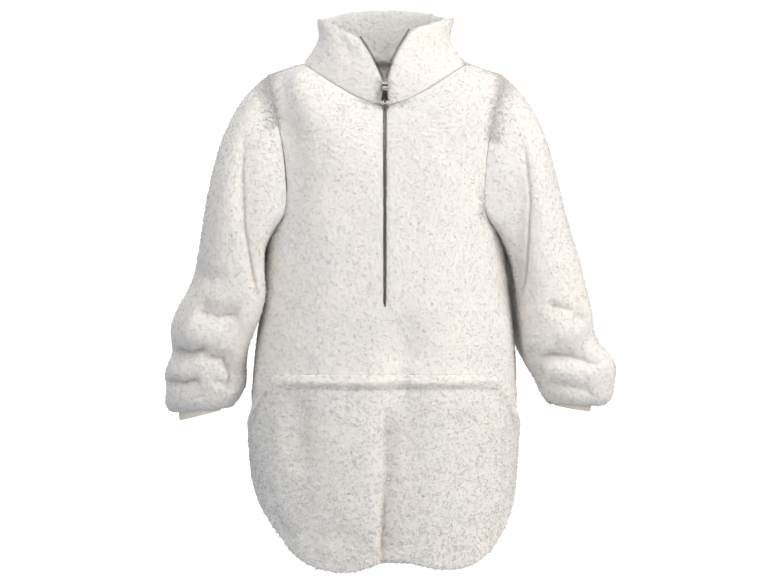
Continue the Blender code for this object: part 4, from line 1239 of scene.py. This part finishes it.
class PULLOVER_OT_zip_teeth(bpy.types.Operator):
    """Set the closed and the open teeth of the zip"""
    bl_idname = "pullover.zip_teeth"
    bl_label = "Zip teeth"

    def execute(self, context):
        settings = context.scene.pullover.zip
        metal = metal_material(settings, "zip_teeth_silver", 1.0)
        tooth = zip_tooth()
        for node, name, sides in TOOTH_ROWS:
            teeth = lay_teeth(name, tooth, node, settings.pitch, sides)
            teeth.data.materials.append(metal)
            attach(teeth, "garment")
            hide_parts(node)
        bpy.data.meshes.remove(tooth)
        return {"FINISHED"}


class PULLOVER_OT_zip_tapes(bpy.types.Operator):
    """Weave the tapes beside the teeth"""
    bl_idname = "pullover.zip_tapes"
    bl_label = "Zip tapes"

    def execute(self, context):
        weave = tape_material(context.scene.pullover.zip)
        for node in ("zip_tape_left", "zip_tape_right"):
            tape = shell_of(node, node + "_weave")
            soften_edges(tape, TAPE_EDGE, 2)
            tape.data.materials.append(weave)
            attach(tape, "garment")
            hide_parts(node)
        return {"FINISHED"}


class PULLOVER_OT_zip_slider(bpy.types.Operator):
    """Cast the slider, its pull and the bottom stop"""
    bl_idname = "pullover.zip_slider"
    bl_label = "Zip slider and pull"

    def execute(self, context):
        settings = context.scene.pullover.zip
        # The slider and pull take painted highlights by level
        banded = metal_material(settings, "zip_slider_silver", SLIDER_LIGHT, SLIDER_PAINTED_HIGHLIGHTS)
        plain = metal_material(settings, "zip_stop_silver", 1.0)
        for node, name, body, round_by in CAST_PARTS:
            part = shell_of(node, name)
            plain_faces(part)
            soften_edges(part, round_by, 3)
            part.data.materials.append(plain if node == "zip_bottom_stop" else banded)
            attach(part, body)
            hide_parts(node)
        return {"FINISHED"}


class PULLOVER_OT_studio(bpy.types.Operator):
    """Build the floor, the lights and the camera"""
    bl_idname = "pullover.studio"
    bl_label = "Studio"

    def execute(self, context):
        settings = context.scene.pullover.studio
        studio_floor(settings.floor_level)
        for name, place, size, setting, share, color in LIGHTS:
            studio_light(name, place, size, getattr(settings, setting) * share, color)
        context.scene.world = studio_air(settings.air_strength)
        context.scene.camera = studio_camera(settings.lens)
        context.scene.view_settings.view_transform = "Standard"
        return {"FINISHED"}


class PULLOVER_PT_panel(bpy.types.Panel):
    """Sizes, colours and steps of the pullover"""
    bl_idname = "PULLOVER_PT_panel"
    bl_label = "Pullover"
    bl_space_type = "VIEW_3D"
    bl_region_type = "UI"
    bl_category = "Pullover"

    def draw(self, context):
        settings = context.scene.pullover
        groups = (
            ("Pile", settings.pile, ("color", "clump_size", "clump_height", "curl_length", "curl_width"),
             ("pullover.pile_panels", "pullover.stitches")),
            ("Cuffs", settings.cuff, ("color",), ("pullover.rib_cuffs",)),
            ("Zip", settings.zip, ("metal_color", "tape_color", "pitch"),
             ("pullover.zip_teeth", "pullover.zip_tapes", "pullover.zip_slider")),
            ("Studio", settings.studio,
             ("floor_level", "air_strength", "key_power", "chest_power", "fill_power", "lens"),
             ("pullover.studio",)),
        )
        for title, group, names, operators in groups:
            box = self.layout.box()
            box.label(text=title)
            for name in names:
                box.prop(group, name)
            for operator in operators:
                box.operator(operator)


CLASSES = (
    PulloverPile,
    PulloverCuff,
    PulloverZip,
    PulloverStudio,
    PulloverSettings,
    PULLOVER_OT_pile_panels,
    PULLOVER_OT_stitches,
    PULLOVER_OT_rib_cuffs,
    PULLOVER_OT_zip_teeth,
    PULLOVER_OT_zip_tapes,
    PULLOVER_OT_zip_slider,
    PULLOVER_OT_studio,
    PULLOVER_PT_panel,
)


def register():
    for part in CLASSES:
        bpy.utils.register_class(part)
    bpy.types.Scene.pullover = PointerProperty(type=PulloverSettings)


def unregister():
    del bpy.types.Scene.pullover
    for part in reversed(CLASSES):
        bpy.utils.unregister_class(part)


def main():
    """Registers the add-on and builds every piece in order."""
    register()
    bpy.ops.pullover.pile_panels()
    bpy.ops.pullover.stitches()
    bpy.ops.pullover.rib_cuffs()
    bpy.ops.pullover.zip_teeth()
    bpy.ops.pullover.zip_tapes()
    bpy.ops.pullover.zip_slider()
    bpy.ops.pullover.studio()


if __name__ == "__main__":
    main()
